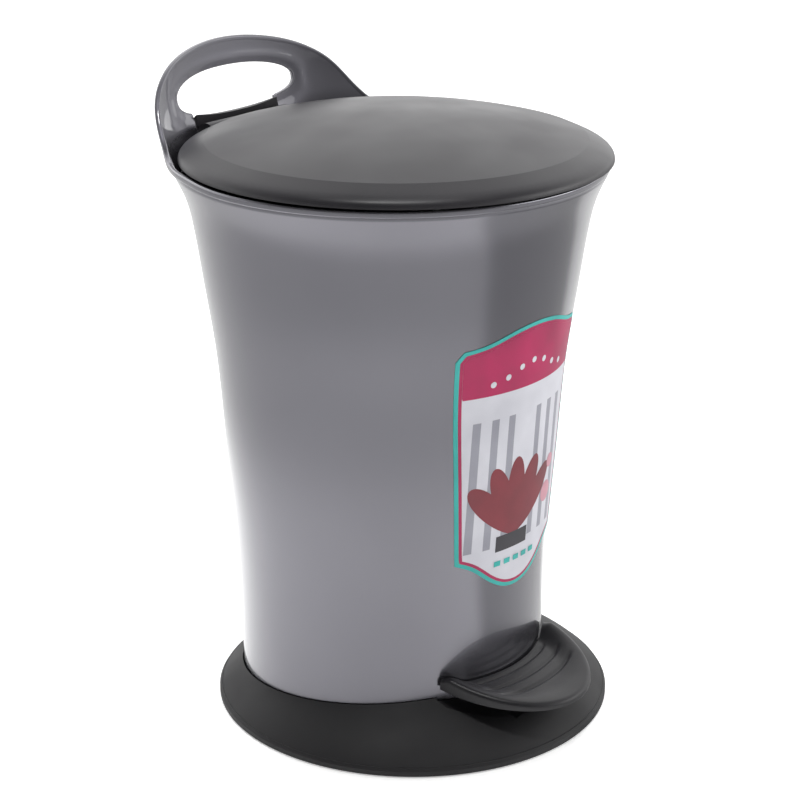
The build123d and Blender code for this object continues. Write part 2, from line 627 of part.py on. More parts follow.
with BuildPart() as base_screws:
    with BuildSketch(Plane.XY.offset(PLINTH_WEB_Z)):
        with GridLocations(2 * SCREW_OFFSET, 2 * SCREW_OFFSET, 2, 2):
            Circle(SCREW_SHANK_RADIUS)
    extrude(amount=SCREW_TIP_Z - PLINTH_WEB_Z)
    with BuildSketch(Plane.XY.offset(PLINTH_WEB_Z - SCREW_HEAD_HEIGHT)):
        with GridLocations(2 * SCREW_OFFSET, 2 * SCREW_OFFSET, 2, 2):
            Circle(SCREW_HEAD_RADIUS)
            Rectangle(SCREW_RECESS_LENGTH, SCREW_RECESS_WIDTH, mode=Mode.SUBTRACT)
            Rectangle(SCREW_RECESS_WIDTH, SCREW_RECESS_LENGTH, mode=Mode.SUBTRACT)
    extrude(amount=SCREW_HEAD_HEIGHT)


# Pedal: a raised rim round a sloping tread with three arc grooves
blank_low_z, blank_high_z = PEDAL_BLANK_Z

with BuildPart() as pedal_tread:
    with BuildSketch(Plane.XY.offset(blank_low_z)):
        with BuildLine():
            pedal_outline(OVERLAP)
        make_face()
    extrude(amount=blank_high_z - blank_low_z)
    with BuildSketch(SIDE_PLANE.offset(-PEDAL_HALF_WIDTH)):
        with BuildLine():
            near, far = PEDAL_BACK_Y + PAST, PEDAL_TIP_Y - PAST
            top_near, top_far = tread_top(near), tread_top(far)
            Polyline(
                (near, top_near), (far, top_far), (far, top_far - TREAD_THICKNESS),
                (near, top_near - TREAD_THICKNESS), close=True,
            )
        make_face()
    extrude(amount=2 * PEDAL_HALF_WIDTH, mode=Mode.INTERSECT)

with BuildPart() as pedal:
    with BuildSketch(Plane.XY.offset(blank_low_z)):
        with BuildLine():
            pedal_outline(0)
        make_face()
        with BuildLine():
            pedal_outline(PEDAL_RIM_WIDTH)
        make_face(mode=Mode.SUBTRACT)
    extrude(amount=blank_high_z - blank_low_z)
    with BuildSketch(SIDE_PLANE.offset(-PEDAL_HALF_WIDTH)):
        with BuildLine():
            Polyline(
                (PEDAL_BACK_Y, PEDAL_RIM_BACK_Z), (PEDAL_TIP_Y, PEDAL_RIM_TIP_Z),
                (PEDAL_TIP_Y, PEDAL_BASE_TIP_Z), (PEDAL_BACK_Y, PEDAL_BASE_BACK_Z), close=True,
            )
        make_face()
    extrude(amount=2 * PEDAL_HALF_WIDTH, mode=Mode.INTERSECT)
    add(pedal_tread.part)
    with BuildSketch(Plane.XY.offset(blank_low_z)):
        Circle(PEDAL_BACK_RADIUS)
    extrude(amount=blank_high_z - blank_low_z, mode=Mode.SUBTRACT)
    for groove_y, groove_half in GROOVES:
        with BuildSketch(Plane.XY.offset(tread_top(groove_y) - GROOVE_DEPTH)):
            with BuildLine():
                sweep_angle = degrees(2 * groove_half / GROOVE_BOW_RADIUS)
                centre = (0, groove_y + GROOVE_BOW_RADIUS)
                bow = CenterArc(centre, GROOVE_BOW_RADIUS, 270 - sweep_angle / 2, sweep_angle)
            SlotArc(bow, GROOVE_WIDTH)
        extrude(amount=PAST, mode=Mode.SUBTRACT)
    with BuildSketch(Plane.XY.offset(blank_low_z)):
        with Locations((-PEDAL_SCREW_X, PEDAL_SCREW_Y), (PEDAL_SCREW_X, PEDAL_SCREW_Y)):
            Circle(PEDAL_SCREW_RADIUS)
    screw_hole_top_z = tread_top(PEDAL_SCREW_Y) - PEDAL_SCREW_COVER
    extrude(amount=screw_hole_top_z - blank_low_z, mode=Mode.SUBTRACT)


# Lever: a plate under the tread, a hub on the axle and a tail with a rounded ridge
with BuildPart() as pedal_lever:
    with BuildSketch(SIDE_PLANE.offset(-LEVER_FRONT_HALF_WIDTH)):
        with BuildLine():
            plate_front_z = tread_top(LEVER_FRONT_Y) - TREAD_THICKNESS
            plate_bend_z = tread_top(LEVER_BEND_Y) - TREAD_THICKNESS
            Polyline(
                (LEVER_FRONT_Y, plate_front_z), (LEVER_BEND_Y, plate_bend_z),
                (AXLE_Y, AXLE_Z + LEVER_HUB_HALF_DEPTH), (AXLE_Y, AXLE_Z),
                (LEVER_BEND_Y, plate_bend_z - LEVER_THICKNESS),
                (LEVER_FRONT_Y, plate_front_z - LEVER_THICKNESS), close=True,
            )
        make_face()
    extrude(amount=2 * LEVER_FRONT_HALF_WIDTH)
    with BuildSketch(SIDE_PLANE.offset(-LEVER_REAR_HALF_WIDTH)):
        with BuildLine():
            Polyline(
                (AXLE_Y, AXLE_Z + LEVER_HUB_HALF_DEPTH), (LEVER_WEB_Y, AXLE_Z + 3),
                (RIDGE_Y, RIDGE_Z + RIDGE_HALF_DEPTH), (RIDGE_Y, RIDGE_Z - RIDGE_HALF_DEPTH),
                (LEVER_WEB_Y, AXLE_Z - 5), (AXLE_Y, AXLE_Z - LEVER_HUB_HALF_DEPTH), close=True,
            )
        make_face()
        with Locations((RIDGE_Y, RIDGE_Z)):
            Circle(RIDGE_RADIUS)
    extrude(amount=2 * LEVER_REAR_HALF_WIDTH)
    with BuildSketch(SIDE_PLANE.offset(-HUB_HALF_LENGTH)):
        with Locations((AXLE_Y, AXLE_Z)):
            Circle(HUB_RADIUS)
    extrude(amount=2 * HUB_HALF_LENGTH)
    with BuildSketch(SIDE_PLANE.offset(-HUB_HALF_LENGTH)):
        with Locations((AXLE_Y, AXLE_Z)):
            Circle(AXLE_RADIUS + AXLE_RUNNING_GAP)
    extrude(amount=2 * HUB_HALF_LENGTH, mode=Mode.SUBTRACT)
    with BuildSketch(Plane.XY.offset(blank_low_z - PAST)):
        with Locations((-PEDAL_SCREW_X, PEDAL_SCREW_Y), (PEDAL_SCREW_X, PEDAL_SCREW_Y)):
            Circle(PEDAL_SCREW_RADIUS)
    extrude(amount=4 * PAST, mode=Mode.SUBTRACT)

with BuildPart() as pedal_screws:
    head_top_z = tread_top(PEDAL_SCREW_Y) - TREAD_THICKNESS - LEVER_THICKNESS - OVERLAP
    screw_tip_z = tread_top(PEDAL_SCREW_Y) - PEDAL_SCREW_TIP_COVER
    with BuildSketch(Plane.XY.offset(head_top_z)):
        with Locations((-PEDAL_SCREW_X, PEDAL_SCREW_Y), (PEDAL_SCREW_X, PEDAL_SCREW_Y)):
            Circle(PEDAL_SCREW_RADIUS - PEDAL_SCREW_GAP)
    extrude(amount=screw_tip_z - head_top_z)
    with BuildSketch(Plane.XY.offset(head_top_z - PEDAL_SCREW_HEAD)):
        with Locations((-PEDAL_SCREW_X, PEDAL_SCREW_Y), (PEDAL_SCREW_X, PEDAL_SCREW_Y)):
            Circle(PEDAL_SCREW_HEAD_RADIUS)
    extrude(amount=PEDAL_SCREW_HEAD)


# Push rod, its shoe, cap, bush and guide
with BuildPart() as push_rod:
    with BuildSketch(rod_plane(ROD_CAP_FLOOR)):
        Circle(ROD_RADIUS)
    extrude(amount=ROD_LENGTH - 2 * ROD_CAP_FLOOR)

with BuildPart() as rod_foot:
    with BuildSketch(rod_plane(0)):
        Circle(ROD_CAP_RADIUS)
    extrude(amount=ROD_CAP_HEIGHT)
    with BuildSketch(rod_plane(ROD_CAP_FLOOR)):
        Circle(ROD_RADIUS)
    extrude(amount=ROD_CAP_HEIGHT, mode=Mode.SUBTRACT)

with BuildPart() as rod_tip:
    with BuildSketch(rod_plane(ROD_LENGTH - ROD_CAP_HEIGHT)):
        Circle(ROD_TIP_RADIUS)
    extrude(amount=ROD_CAP_HEIGHT)
    with BuildSketch(rod_plane(ROD_LENGTH - ROD_CAP_HEIGHT)):
        Circle(ROD_RADIUS)
    extrude(amount=ROD_CAP_HEIGHT - ROD_CAP_FLOOR, mode=Mode.SUBTRACT)

with BuildPart() as rod_bush:
    flange_start = FLOOR_TOP_Z - ROD_FOOT_Z + BUSH_TILT_ROOM
    with BuildSketch(rod_plane(flange_start - BUSH_NECK)):
        Circle(BUSH_RADIUS)
    extrude(amount=BUSH_NECK)
    with BuildSketch(rod_plane(flange_start)):
        Circle(BUSH_FLANGE_RADIUS)
    extrude(amount=BUSH_FLANGE)
    with BuildSketch(rod_plane(flange_start - BUSH_NECK)):
        Circle(ROD_RADIUS + ROD_GUIDE_GAP)
    extrude(amount=BUSH_NECK + BUSH_FLANGE, mode=Mode.SUBTRACT)

with BuildPart() as rod_guide:
    guide_start = GUIDE_Z - ROD_FOOT_Z
    with BuildSketch(rod_plane(guide_start)):
        Circle(GUIDE_RADIUS)
        with Locations((0, GUIDE_REACH / 2)):
            Rectangle(2 * GUIDE_HALF_WIDTH, GUIDE_REACH)
    extrude(amount=GUIDE_HEIGHT)
    with BuildSketch(BODY_PLANE):
        with BuildLine():
            wall_top_z = BODY_OUTLINE[-1][1]
            wall = Spline(*[(r - BODY_WALL - GUIDE_WALL_GAP, z) for r, z in BODY_OUTLINE])
            Polyline(wall @ 0, (0, BODY_BOTTOM_Z), (0, wall_top_z), wall @ 1)
        make_face()
    revolve(axis=Axis.Z, mode=Mode.INTERSECT)
    with BuildSketch(rod_plane(guide_start)):
        Circle(ROD_RADIUS + ROD_GUIDE_GAP)
    extrude(amount=GUIDE_HEIGHT, mode=Mode.SUBTRACT)


# Inner bucket and its bail
with BuildPart() as inner_bucket:
    with BuildSketch(BUCKET_PLANE):
        with BuildLine():
            lip = BUCKET_TOP_RADIUS + BUCKET_LIP
            lip_z = BUCKET_TOP_Z - BUCKET_LIP_HEIGHT
            foot_radius = BUCKET_BASE_RADIUS - BUCKET_WALL
            web_z = FLOOR_TOP_Z + BUCKET_FOOT_HEIGHT
            Polyline(
                (BUCKET_BASE_RADIUS, FLOOR_TOP_Z), (BUCKET_TOP_RADIUS, lip_z), (lip, lip_z),
                (lip, BUCKET_TOP_Z), (BUCKET_TOP_RADIUS - BUCKET_WALL, BUCKET_TOP_Z),
                (foot_radius + BUCKET_DRAFT, web_z + BUCKET_WALL), (0, web_z + BUCKET_WALL),
                (0, web_z), (foot_radius, web_z), (foot_radius, FLOOR_TOP_Z), close=True,
            )
        make_face()
    revolve(axis=BUCKET_AXIS)
    for side in (-1, 1):
        with BuildSketch(SIDE_PLANE.offset(side * BAIL_EAR_X - BAIL_EAR_THICKNESS / 2)):
            with Locations((BUCKET_CENTRE_Y, BAIL_Z)):
                Circle(BAIL_EAR_HALF_WIDTH)
            with Locations((BUCKET_CENTRE_Y, (BAIL_Z + lip_z) / 2)):
                Rectangle(2 * BAIL_EAR_HALF_WIDTH, BAIL_Z - lip_z)
            with Locations((BUCKET_CENTRE_Y, BAIL_Z)):
                Circle(BAIL_WIRE_RADIUS + BAIL_RUNNING_GAP, mode=Mode.SUBTRACT)
        extrude(amount=BAIL_EAR_THICKNESS)

with BuildPart() as bail_wire:
    bow_start = Plane((0, BUCKET_CENTRE_Y, BAIL_Z), x_dir=(-1, 0, 0), z_dir=(0, 1, 0))
    with BuildSketch(bow_start):
        with Locations((BAIL_RADIUS, 0)):
            Circle(BAIL_WIRE_RADIUS)
    revolve(axis=BUCKET_AXIS, revolution_arc=180)
    for side in (-1, 1):
        with BuildSketch(SIDE_PLANE.offset(side * (BAIL_RADIUS + BAIL_END_X) / 2)):
            with Locations((BUCKET_CENTRE_Y, BAIL_Z)):
                Circle(BAIL_WIRE_RADIUS)
        extrude(amount=(BAIL_END_X - BAIL_RADIUS) / 2 + BAIL_WIRE_RADIUS, both=True)

with BuildPart() as bail_grip:
    lead = radians(90 - BAIL_GRIP_HALF_ANGLE)
    grip_dir = (-cos(lead), -sin(lead), 0)
    grip_normal = (-sin(lead), cos(lead), 0)
    with BuildSketch(Plane((0, BUCKET_CENTRE_Y, BAIL_Z), x_dir=grip_dir, z_dir=grip_normal)):
        with Locations((BAIL_RADIUS, 0)):
            Circle(BAIL_GRIP_RADIUS)
            Circle(BAIL_WIRE_RADIUS, mode=Mode.SUBTRACT)
    revolve(axis=BUCKET_AXIS, revolution_arc=2 * BAIL_GRIP_HALF_ANGLE)


# Sticker on the front wall
with BuildPart() as front_label:
    with BuildSketch(BODY_PLANE):
        with BuildLine():
            label_radius = LABEL_GAP + LABEL_THICKNESS
            inside = Spline(*[(r + LABEL_GAP, z) for r, z in BODY_OUTLINE])
            outside = Spline(*[(r + label_radius, z) for r, z in BODY_OUTLINE])
            Line(inside @ 0, outside @ 0)
            Line(inside @ 1, outside @ 1)
        make_face()
    revolve(axis=Axis.Z)
    with BuildSketch(Plane.XZ.offset(-LABEL_BACK_Y)):
        with BuildLine():
            for side in (-1, 1):
                crown = [(LABEL_CENTRE_X + side * x, z) for x, z in LABEL_CROWN]
                foot = [(LABEL_CENTRE_X + side * x, z) for x, z in LABEL_FOOT]
                shoulder_x, shoulder_z = LABEL_SHOULDER
                shoulder = (LABEL_CENTRE_X + side * shoulder_x, shoulder_z)
                Spline(*crown)
                Spline(*foot)
                Polyline(crown[-1], shoulder, foot[0])
        make_face()
    extrude(amount=-LABEL_BACK_Y, mode=Mode.INTERSECT)


PIECES = {
    "outer_body": outer_body, "base_plinth": base_plinth, "foot_ring": foot_ring,
    "base_screws": base_screws, "front_label": front_label, "inner_bucket": inner_bucket,
    "bail_wire": bail_wire, "bail_grip": bail_grip, "pedal": pedal, "pedal_lever": pedal_lever,
    "pedal_axle": pedal_axle, "axle_clips": axle_clips, "pedal_screws": pedal_screws,
    "push_rod": push_rod, "rod_foot": rod_foot, "rod_tip": rod_tip, "rod_bush": rod_bush,
    "rod_guide": rod_guide, "lid_shell": lid_shell, "lid_bumpers": lid_bumpers,
    "hinge_pin": hinge_pin, "hinge_clips": hinge_clips,
}
os.makedirs("parts", exist_ok=True)
for piece_name, piece in PIECES.items():
    piece.part.label = piece_name
    export_step(piece.part, f"parts/{piece_name}.step")
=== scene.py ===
"""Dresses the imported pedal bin: a glossy silver-grey body, matt black mouldings and a printed sticker.

Sizes are in millimetres in the part's own frame: +Z up, -Y to the front, the axis of the body at X = Y = 0.
A name that ends in _m holds metres, and one that ends in _deg holds degrees.
"""
import logging
import math
from dataclasses import dataclass, field
from enum import Enum
from typing import Any, Callable, Dict, List, Sequence, Tuple, Union

import bmesh
import bpy
import numpy as np
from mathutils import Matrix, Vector


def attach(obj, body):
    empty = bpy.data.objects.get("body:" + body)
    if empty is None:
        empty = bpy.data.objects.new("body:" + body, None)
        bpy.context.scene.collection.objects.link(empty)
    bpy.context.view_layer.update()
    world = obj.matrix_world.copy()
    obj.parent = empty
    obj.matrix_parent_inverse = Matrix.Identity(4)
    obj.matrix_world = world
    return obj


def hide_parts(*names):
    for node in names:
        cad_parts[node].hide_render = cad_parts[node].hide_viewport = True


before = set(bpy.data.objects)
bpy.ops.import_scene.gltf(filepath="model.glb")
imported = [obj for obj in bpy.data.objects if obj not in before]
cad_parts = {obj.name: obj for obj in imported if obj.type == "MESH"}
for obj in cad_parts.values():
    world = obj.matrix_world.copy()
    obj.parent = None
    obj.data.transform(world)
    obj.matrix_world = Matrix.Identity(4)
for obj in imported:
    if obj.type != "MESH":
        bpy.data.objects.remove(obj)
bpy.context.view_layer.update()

LOG = logging.getLogger("pedal_bin")
MM = 0.001
Point2 = Tuple[float, float]
Point3 = Tuple[float, float, float]
Points = Sequence[Point2]
Curve = Callable[[Any], np.ndarray]
MeshData = Tuple[np.ndarray, List[Sequence[int]]]
NodeValues = Dict[Union[str, int], Any]

CREASE_DEG = 35.0
WHITE = "#FFFFFF"
TINY = 1e-6
# Every finish mixes its two noises alike: a fine grain over a slow cloud.
GRAIN_DETAIL = 3.0
CLOUD_DETAIL = 2.0
NOISE_ROUGHNESS = 0.55
GRAIN_SHARE = 0.35
TONE_ENDS = (0.45, 0.9)
CLOUD_ENDS = (0.3, 0.7)
SATIN_RISE_MM = 10.0


class Along(Enum):
    """Direction that a prism is extruded in, as its place among x, y and z."""

    X = 0
    Y = 1
    Z = 2


# Finishes

def linear(colour: str) -> Tuple[float, float, float, float]:
    """Turns an sRGB hex colour into linear light.

    Args:
        colour: six hex digits with a leading hash.
    Returns:
        Red, green, blue and an alpha of 1.
    """
    channels = [int(colour[k:k + 2], 16) / 255 for k in (1, 3, 5)]
    light = [c / 12.92 if c <= 0.04045 else ((c + 0.055) / 1.055) ** 2.4 for c in channels]
    return (light[0], light[1], light[2], 1.0)


def add_node(tree: bpy.types.NodeTree, kind: str, settings: NodeValues, links: NodeValues) -> Any:
    """Adds a shader node, sets it up and links its inputs.

    Args:
        tree: node tree that gets the node.
        kind: Blender's name of the node type.
        settings: property name, input name or input number to its value.
        links: input name or number to the socket that feeds it.
    Returns:
        The new node.
    """
    made = tree.nodes.new(kind)
    for name, value in settings.items():
        if isinstance(name, int) or name in made.inputs:
            made.inputs[name].default_value = value
        else:
            setattr(made, name, value)
    for name, socket in links.items():
        tree.links.new(socket, made.inputs[name])
    return made


@dataclass(frozen=True)
class Finish:
    """A material, from what the real one is and how its surface was made.

    The grain is a moulded or ground texture, the cloud a slow change of tone that handling and flow leave.
    """

    name: str
    light: str
    dark: str
    roughness: float
    roughness_spread: float = 0.05
    ior: float = 1.5
    metallic: float = 0.0
    coat: float = 0.0
    coat_roughness: float = 0.05
    grain_mm: float = 0.6
    grain_depth_mm: float = 0.02
    cloud_mm: float = 60.0
    grain_stretch: Point3 = (1.0, 1.0, 1.0)
    satin_above_mm: float = 0.0
    satin_roughness: float = 0.5

    def material(self) -> bpy.types.Material:
        """Builds the node material, or returns the one already built.

        Returns:
            The Blender material with this finish's name.
        """
        ready = bpy.data.materials.get(self.name)
        if ready is not None:
            return ready
        made = bpy.data.materials.new(self.name)
        made.use_nodes = True
        tree = made.node_tree
        shader = tree.nodes["Principled BSDF"]
        place = add_node(tree, "ShaderNodeTexCoord", {}, {}).outputs["Object"]
        stretch = {"Scale": self.grain_stretch}
        stretched = add_node(tree, "ShaderNodeMapping", stretch, {"Vector": place}).outputs["Vector"]
        noises = []
        for size_mm, detail, spot in (
            (self.grain_mm, GRAIN_DETAIL, stretched),
            (self.cloud_mm, CLOUD_DETAIL, place),
        ):
            settings = {"Scale": 1 / (size_mm * MM), "Detail": detail, "Roughness": NOISE_ROUGHNESS}
            noises.append(add_node(tree, "ShaderNodeTexNoise", settings, {"Vector": spot}).outputs["Fac"])
        grain, cloud = noises
        mixing = {"operation": "MULTIPLY_ADD", 1: GRAIN_SHARE}
        tone = add_node(tree, "ShaderNodeMath", mixing, {0: grain, 2: cloud}).outputs["Value"]
        ramp = add_node(tree, "ShaderNodeValToRGB", {}, {"Fac": tone})
        dark_end, light_end = ramp.color_ramp.elements
        dark_end.position, dark_end.color = TONE_ENDS[0], linear(self.dark)
        light_end.position, light_end.color = TONE_ENDS[1], linear(self.light)
        limits = {
            "From Min": CLOUD_ENDS[0],
            "From Max": CLOUD_ENDS[1],
            "To Min": self.roughness - self.roughness_spread,
            "To Max": self.roughness + self.roughness_spread,
        }
        gloss = add_node(tree, "ShaderNodeMapRange", limits, {"Value": cloud}).outputs["Result"]
        if self.satin_above_mm:
            height = add_node(tree, "ShaderNodeSeparateXYZ", {}, {"Vector": place}).outputs["Z"]
            limits = {
                "From Min": self.satin_above_mm * MM,
                "From Max": (self.satin_above_mm + SATIN_RISE_MM) * MM,
                "To Max": self.satin_roughness,
            }
            links = {"Value": height, "To Min": gloss}
            gloss = add_node(tree, "ShaderNodeMapRange", limits, links).outputs["Result"]
        bump = add_node(tree, "ShaderNodeBump", {"Distance": self.grain_depth_mm * MM}, {"Height": grain})
        tree.links.new(ramp.outputs["Color"], shader.inputs["Base Color"])
        tree.links.new(gloss, shader.inputs["Roughness"])
        tree.links.new(bump.outputs["Normal"], shader.inputs["Normal"])
        shader.inputs["Metallic"].default_value = self.metallic
        shader.inputs["IOR"].default_value = self.ior
        shader.inputs["Coat Weight"].default_value = self.coat
        shader.inputs["Coat Roughness"].default_value = self.coat_roughness
        return made


# Polypropylene with an aluminium-flake pigment, moulded in a polished tool: it mirrors what is round it in
# grey, under a clear skin that keeps the edges of the reflections sharp. The handle panel above the rim is
# satin for a better grip.
FLAKE_BODY = Finish(
    "polypropylene_silver_flake_gloss", "#75747B", "#6E6D74", roughness=0.24, roughness_spread=0.02,
    metallic=0.85, coat=0.9, coat_roughness=0.03, grain_mm=0.5, grain_depth_mm=0.0015, cloud_mm=110,
    satin_above_mm=306,
)
# Polypropylene moulded in a spark-eroded tool: almost black, with a fine even grain that greys where the
# light grazes it.
ERODED_LID = Finish(
    "polypropylene_charcoal_spark_eroded", "#2B292D", "#242327", roughness=0.42, grain_mm=0.7,
    grain_depth_mm=0.03, cloud_mm=45,
)
# The same moulding in black for the parts that are trodden on.
ERODED_BLACK = Finish(
    "polypropylene_black_spark_eroded", "#1D1C20", "#18171B", roughness=0.46, grain_mm=0.6,
    grain_depth_mm=0.03, cloud_mm=30,
)
# A coarser and duller erosion of the same black for the plinth.
COARSE_BLACK = Finish(
    "polypropylene_black_coarse_eroded", "#18171A", "#121114", roughness=0.62, grain_mm=0.8,
    grain_depth_mm=0.05, cloud_mm=30,
)
# Plain black polypropylene with a satin face, as buckets are moulded.
SATIN_BLACK = Finish(
    "polypropylene_black_satin", "#242427", "#1E1E21", roughness=0.4, grain_mm=0.8, grain_depth_mm=0.01,
)
# Drawn wire and turned pins under bright zinc plate: grey metal with fine drawing lines.
ZINC_STEEL = Finish(
    "steel_bright_zinc_plated", "#B4B5B8", "#9A9B9F", roughness=0.3, metallic=1.0, grain_mm=0.4,
    grain_depth_mm=0.004, cloud_mm=12, grain_stretch=(1.0, 1.0, 0.15),
)
# Moulded thermoplastic rubber: deep black and dull.
FOOT_RUBBER = Finish(
    "thermoplastic_rubber_black", "#1B1B1C", "#151516", roughness=0.75, grain_mm=0.9, grain_depth_mm=0.04,
)
# Unpigmented acetal, as bushes and caps are turned and moulded from: milky white, faintly waxy.
NATURAL_ACETAL = Finish(
    "acetal_natural_moulded", "#D5D4CD", "#C9C8C0", roughness=0.35, grain_mm=0.9, grain_depth_mm=0.008,
)


def ink(name: str, light: str, dark: str) -> Finish:
    """Offset-printed ink under the sticker's gloss varnish.

    Args:
        name: colour word for the material's name.
        light: lighter tone of the ink.
        dark: darker tone of the ink, where the screen is denser.
    Returns:
        The finish.
    """
    return Finish(
        f"varnished_print_{name}", light, dark, roughness=0.5, roughness_spread=0.03, coat=0.1,
        coat_roughness=0.12, grain_mm=0.35, grain_depth_mm=0.001, cloud_mm=25,
    )


# Meshes

def shade(mesh: bpy.types.Mesh, crease_deg: float) -> None:
    """Turns a mesh's faces outward, shades it smooth and marks its sharp creases.

    Args:
        mesh: mesh to shade.
        crease_deg: edges that turn by more than this stay sharp.
    """
    work = bmesh.new()
    work.from_mesh(mesh)
    bmesh.ops.recalc_face_normals(work, faces=work.faces)
    work.to_mesh(mesh)
    work.free()
    mesh.polygons.foreach_set("use_smooth", [True] * len(mesh.polygons))
    mesh.set_sharp_from_angle(angle=math.radians(crease_deg))
    mesh.update()


def new_piece(
    name: str, data: MeshData, finish: Finish, crease_deg: float = CREASE_DEG
) -> bpy.types.Object:
    """Makes an object from millimetre vertices and faces, shaded smooth with sharp creases.

    Args:
        name: object name.
        data: vertices in millimetres and faces.
        finish: material of the whole piece.
        crease_deg: edges that turn by more than this stay sharp.
    Returns:
        The linked object at the origin.
    """
    vertices, faces = data
    mesh = bpy.data.meshes.new(name)
    mesh.from_pydata((np.asarray(vertices, float) * MM).tolist(), [], [list(map(int, f)) for f in faces])
    mesh.validate()
    shade(mesh, crease_deg)
    made = bpy.data.objects.new(name, mesh)
    bpy.context.scene.collection.objects.link(made)
    mesh.materials.append(finish.material())
    return made


def joined(parts: Sequence[MeshData]) -> MeshData:
    """Joins several meshes' vertices and faces into one.

    Args:
        parts: meshes to join.
    Returns:
        One mesh with a shell for each part.
    """
    vertices: List[np.ndarray] = []
    faces: List[Sequence[int]] = []
    base = 0
    for points, sides in parts:
        vertices.append(np.asarray(points, float))
        faces.extend([[i + base for i in side] for side in sides])
        base += len(points)
    return np.concatenate(vertices), faces


def grid_faces(
    rows: int, columns: int, wrap: bool, base: int = 0, wrap_rows: bool = False
) -> List[Sequence[int]]:
    """Quads of a grid of vertices stored row by row.

    Args:
        rows: number of rows of vertices.
        columns: vertices in a row.
        wrap: whether the last column joins the first.
        base: index of the first vertex.
        wrap_rows: whether the last row joins the first.
    Returns:
        The quads.
    """
    quads = []
    for r in range(rows if wrap_rows else rows - 1):
        for c in range(columns if wrap else columns - 1):
            d, s = (c + 1) % columns, (r + 1) % rows
            corners = (r * columns + c, r * columns + d, s * columns + d, s * columns + c)
            quads.append([base + k for k in corners])
    return quads


def prism(profile: Points, along: Along, start: float, end: float) -> MeshData:
    """Closed prism of a flat outline.

    Args:
        profile: outline in the two axes other than the direction, in x, y, z order.
        along: direction of the prism.
        start: first end.
        end: second end.
    Returns:
        Vertices and faces.
    """
    n, k = len(profile), along.value
    flat = [list(corner) for corner in profile]
    vertices = [corner[:k] + [t] + corner[k:] for t in (start, end) for corner in flat]
    faces: List[Sequence[int]] = [[i, (i + 1) % n, n + (i + 1) % n, n + i] for i in range(n)]
    faces.append(list(range(n)))
    faces.append(list(range(2 * n - 1, n - 1, -1)))
    return np.array(vertices), faces


def full_turn(segments: int) -> np.ndarray:
    """Angles spaced evenly round a circle."""
    return np.linspace(0, 2 * np.pi, segments, endpoint=False)


def arc(centre: Point2, radius: float, turn: np.ndarray) -> List[Point2]:
    """Points round a centre at the angles of a turn."""
    return [(centre[0] + radius * math.cos(a), centre[1] + radius * math.sin(a)) for a in turn]


def lathe(profile: Points, centre: Point2, segments: int) -> MeshData:
    """Ring of revolution of a closed outline about a vertical axis.

    Args:
        profile: closed outline as radius and height, clear of the axis.
        centre: X and Y of the axis.
        segments: steps round the axis.
    Returns:
        Vertices and faces.
    """
    turn = full_turn(segments)
    vertices = [(x, y, z) for radius, z in profile for x, y in arc(centre, radius, turn)]
    return np.array(vertices), grid_faces(len(profile), segments, wrap=True, wrap_rows=True)


def rounded_box_section(
    half_width: float, half_height: float, corner: float, steps: int = 5
) -> np.ndarray:
    """Section of a bar with rounded corners.

    Args:
        half_width: half of its width, across the wall.
        half_height: half of its height.
        corner: radius of its corners.
        steps: points along each corner.
    Returns:
        The points, one row each.
    """
    points = []
    for k, (sx, sz) in enumerate(((1, 1), (-1, 1), (-1, -1), (1, -1))):
        for a in np.linspace(k * np.pi / 2, (k + 1) * np.pi / 2, steps):
            x = sx * (half_width - corner) + corner * math.cos(a)
            points.append((x, sz * (half_height - corner) + corner * math.sin(a)))
    return np.array(points)


def sweep(path: np.ndarray, section: np.ndarray, closed: bool) -> MeshData:
    """Bar along a path round the body, with its section upright to the body's axis.

    Args:
        path: centre points, one row each.
        section: the section's points, outward and upward from its centre.
        closed: whether the path returns to its start.
    Returns:
        Vertices and faces.
    """
    ahead = np.roll(path, -1, 0) - np.roll(path, 1, 0)
    if not closed:
        ahead[0] = path[1] - path[0]
        ahead[-1] = path[-1] - path[-2]
    ahead /= np.linalg.norm(ahead, axis=1)[:, None]
    outward = path * np.array([1.0, 1.0, 0.0])
    outward -= ahead * np.sum(ahead * outward, axis=1)[:, None]
    outward /= np.linalg.norm(outward, axis=1)[:, None]
    upward = np.cross(ahead, outward)
    rings = [path + out * outward + up * upward for out, up in section]
    count, sides = len(path), len(section)
    faces = grid_faces(count, sides, wrap=True, wrap_rows=closed)
    if not closed:
        faces.append(list(range(sides)))
        faces.append(list(range(count * sides - 1, (count - 1) * sides - 1, -1)))
    return np.stack(rings, 1).reshape(-1, 3), faces


def cut(target: bpy.types.Object, cutter_data: MeshData) -> None:
    """Cuts a closed shape out of a piece.

    Args:
        target: piece that is cut.
        cutter_data: the closed shape.
    """
    cutter = new_piece("cutter", cutter_data, FLAKE_BODY)
    step = target.modifiers.new("cut", "BOOLEAN")
    step.operation = "DIFFERENCE"
    step.solver = "EXACT"
    step.object = cutter
    bpy.context.view_layer.update()
    graph = bpy.context.evaluated_depsgraph_get()
    result = bpy.data.meshes.new_from_object(target.evaluated_get(graph))
    target.modifiers.clear()
    old = target.data
    target.data = result
    bpy.data.meshes.remove(old)
    bpy.data.objects.remove(cutter)
    shade(result, CREASE_DEG)


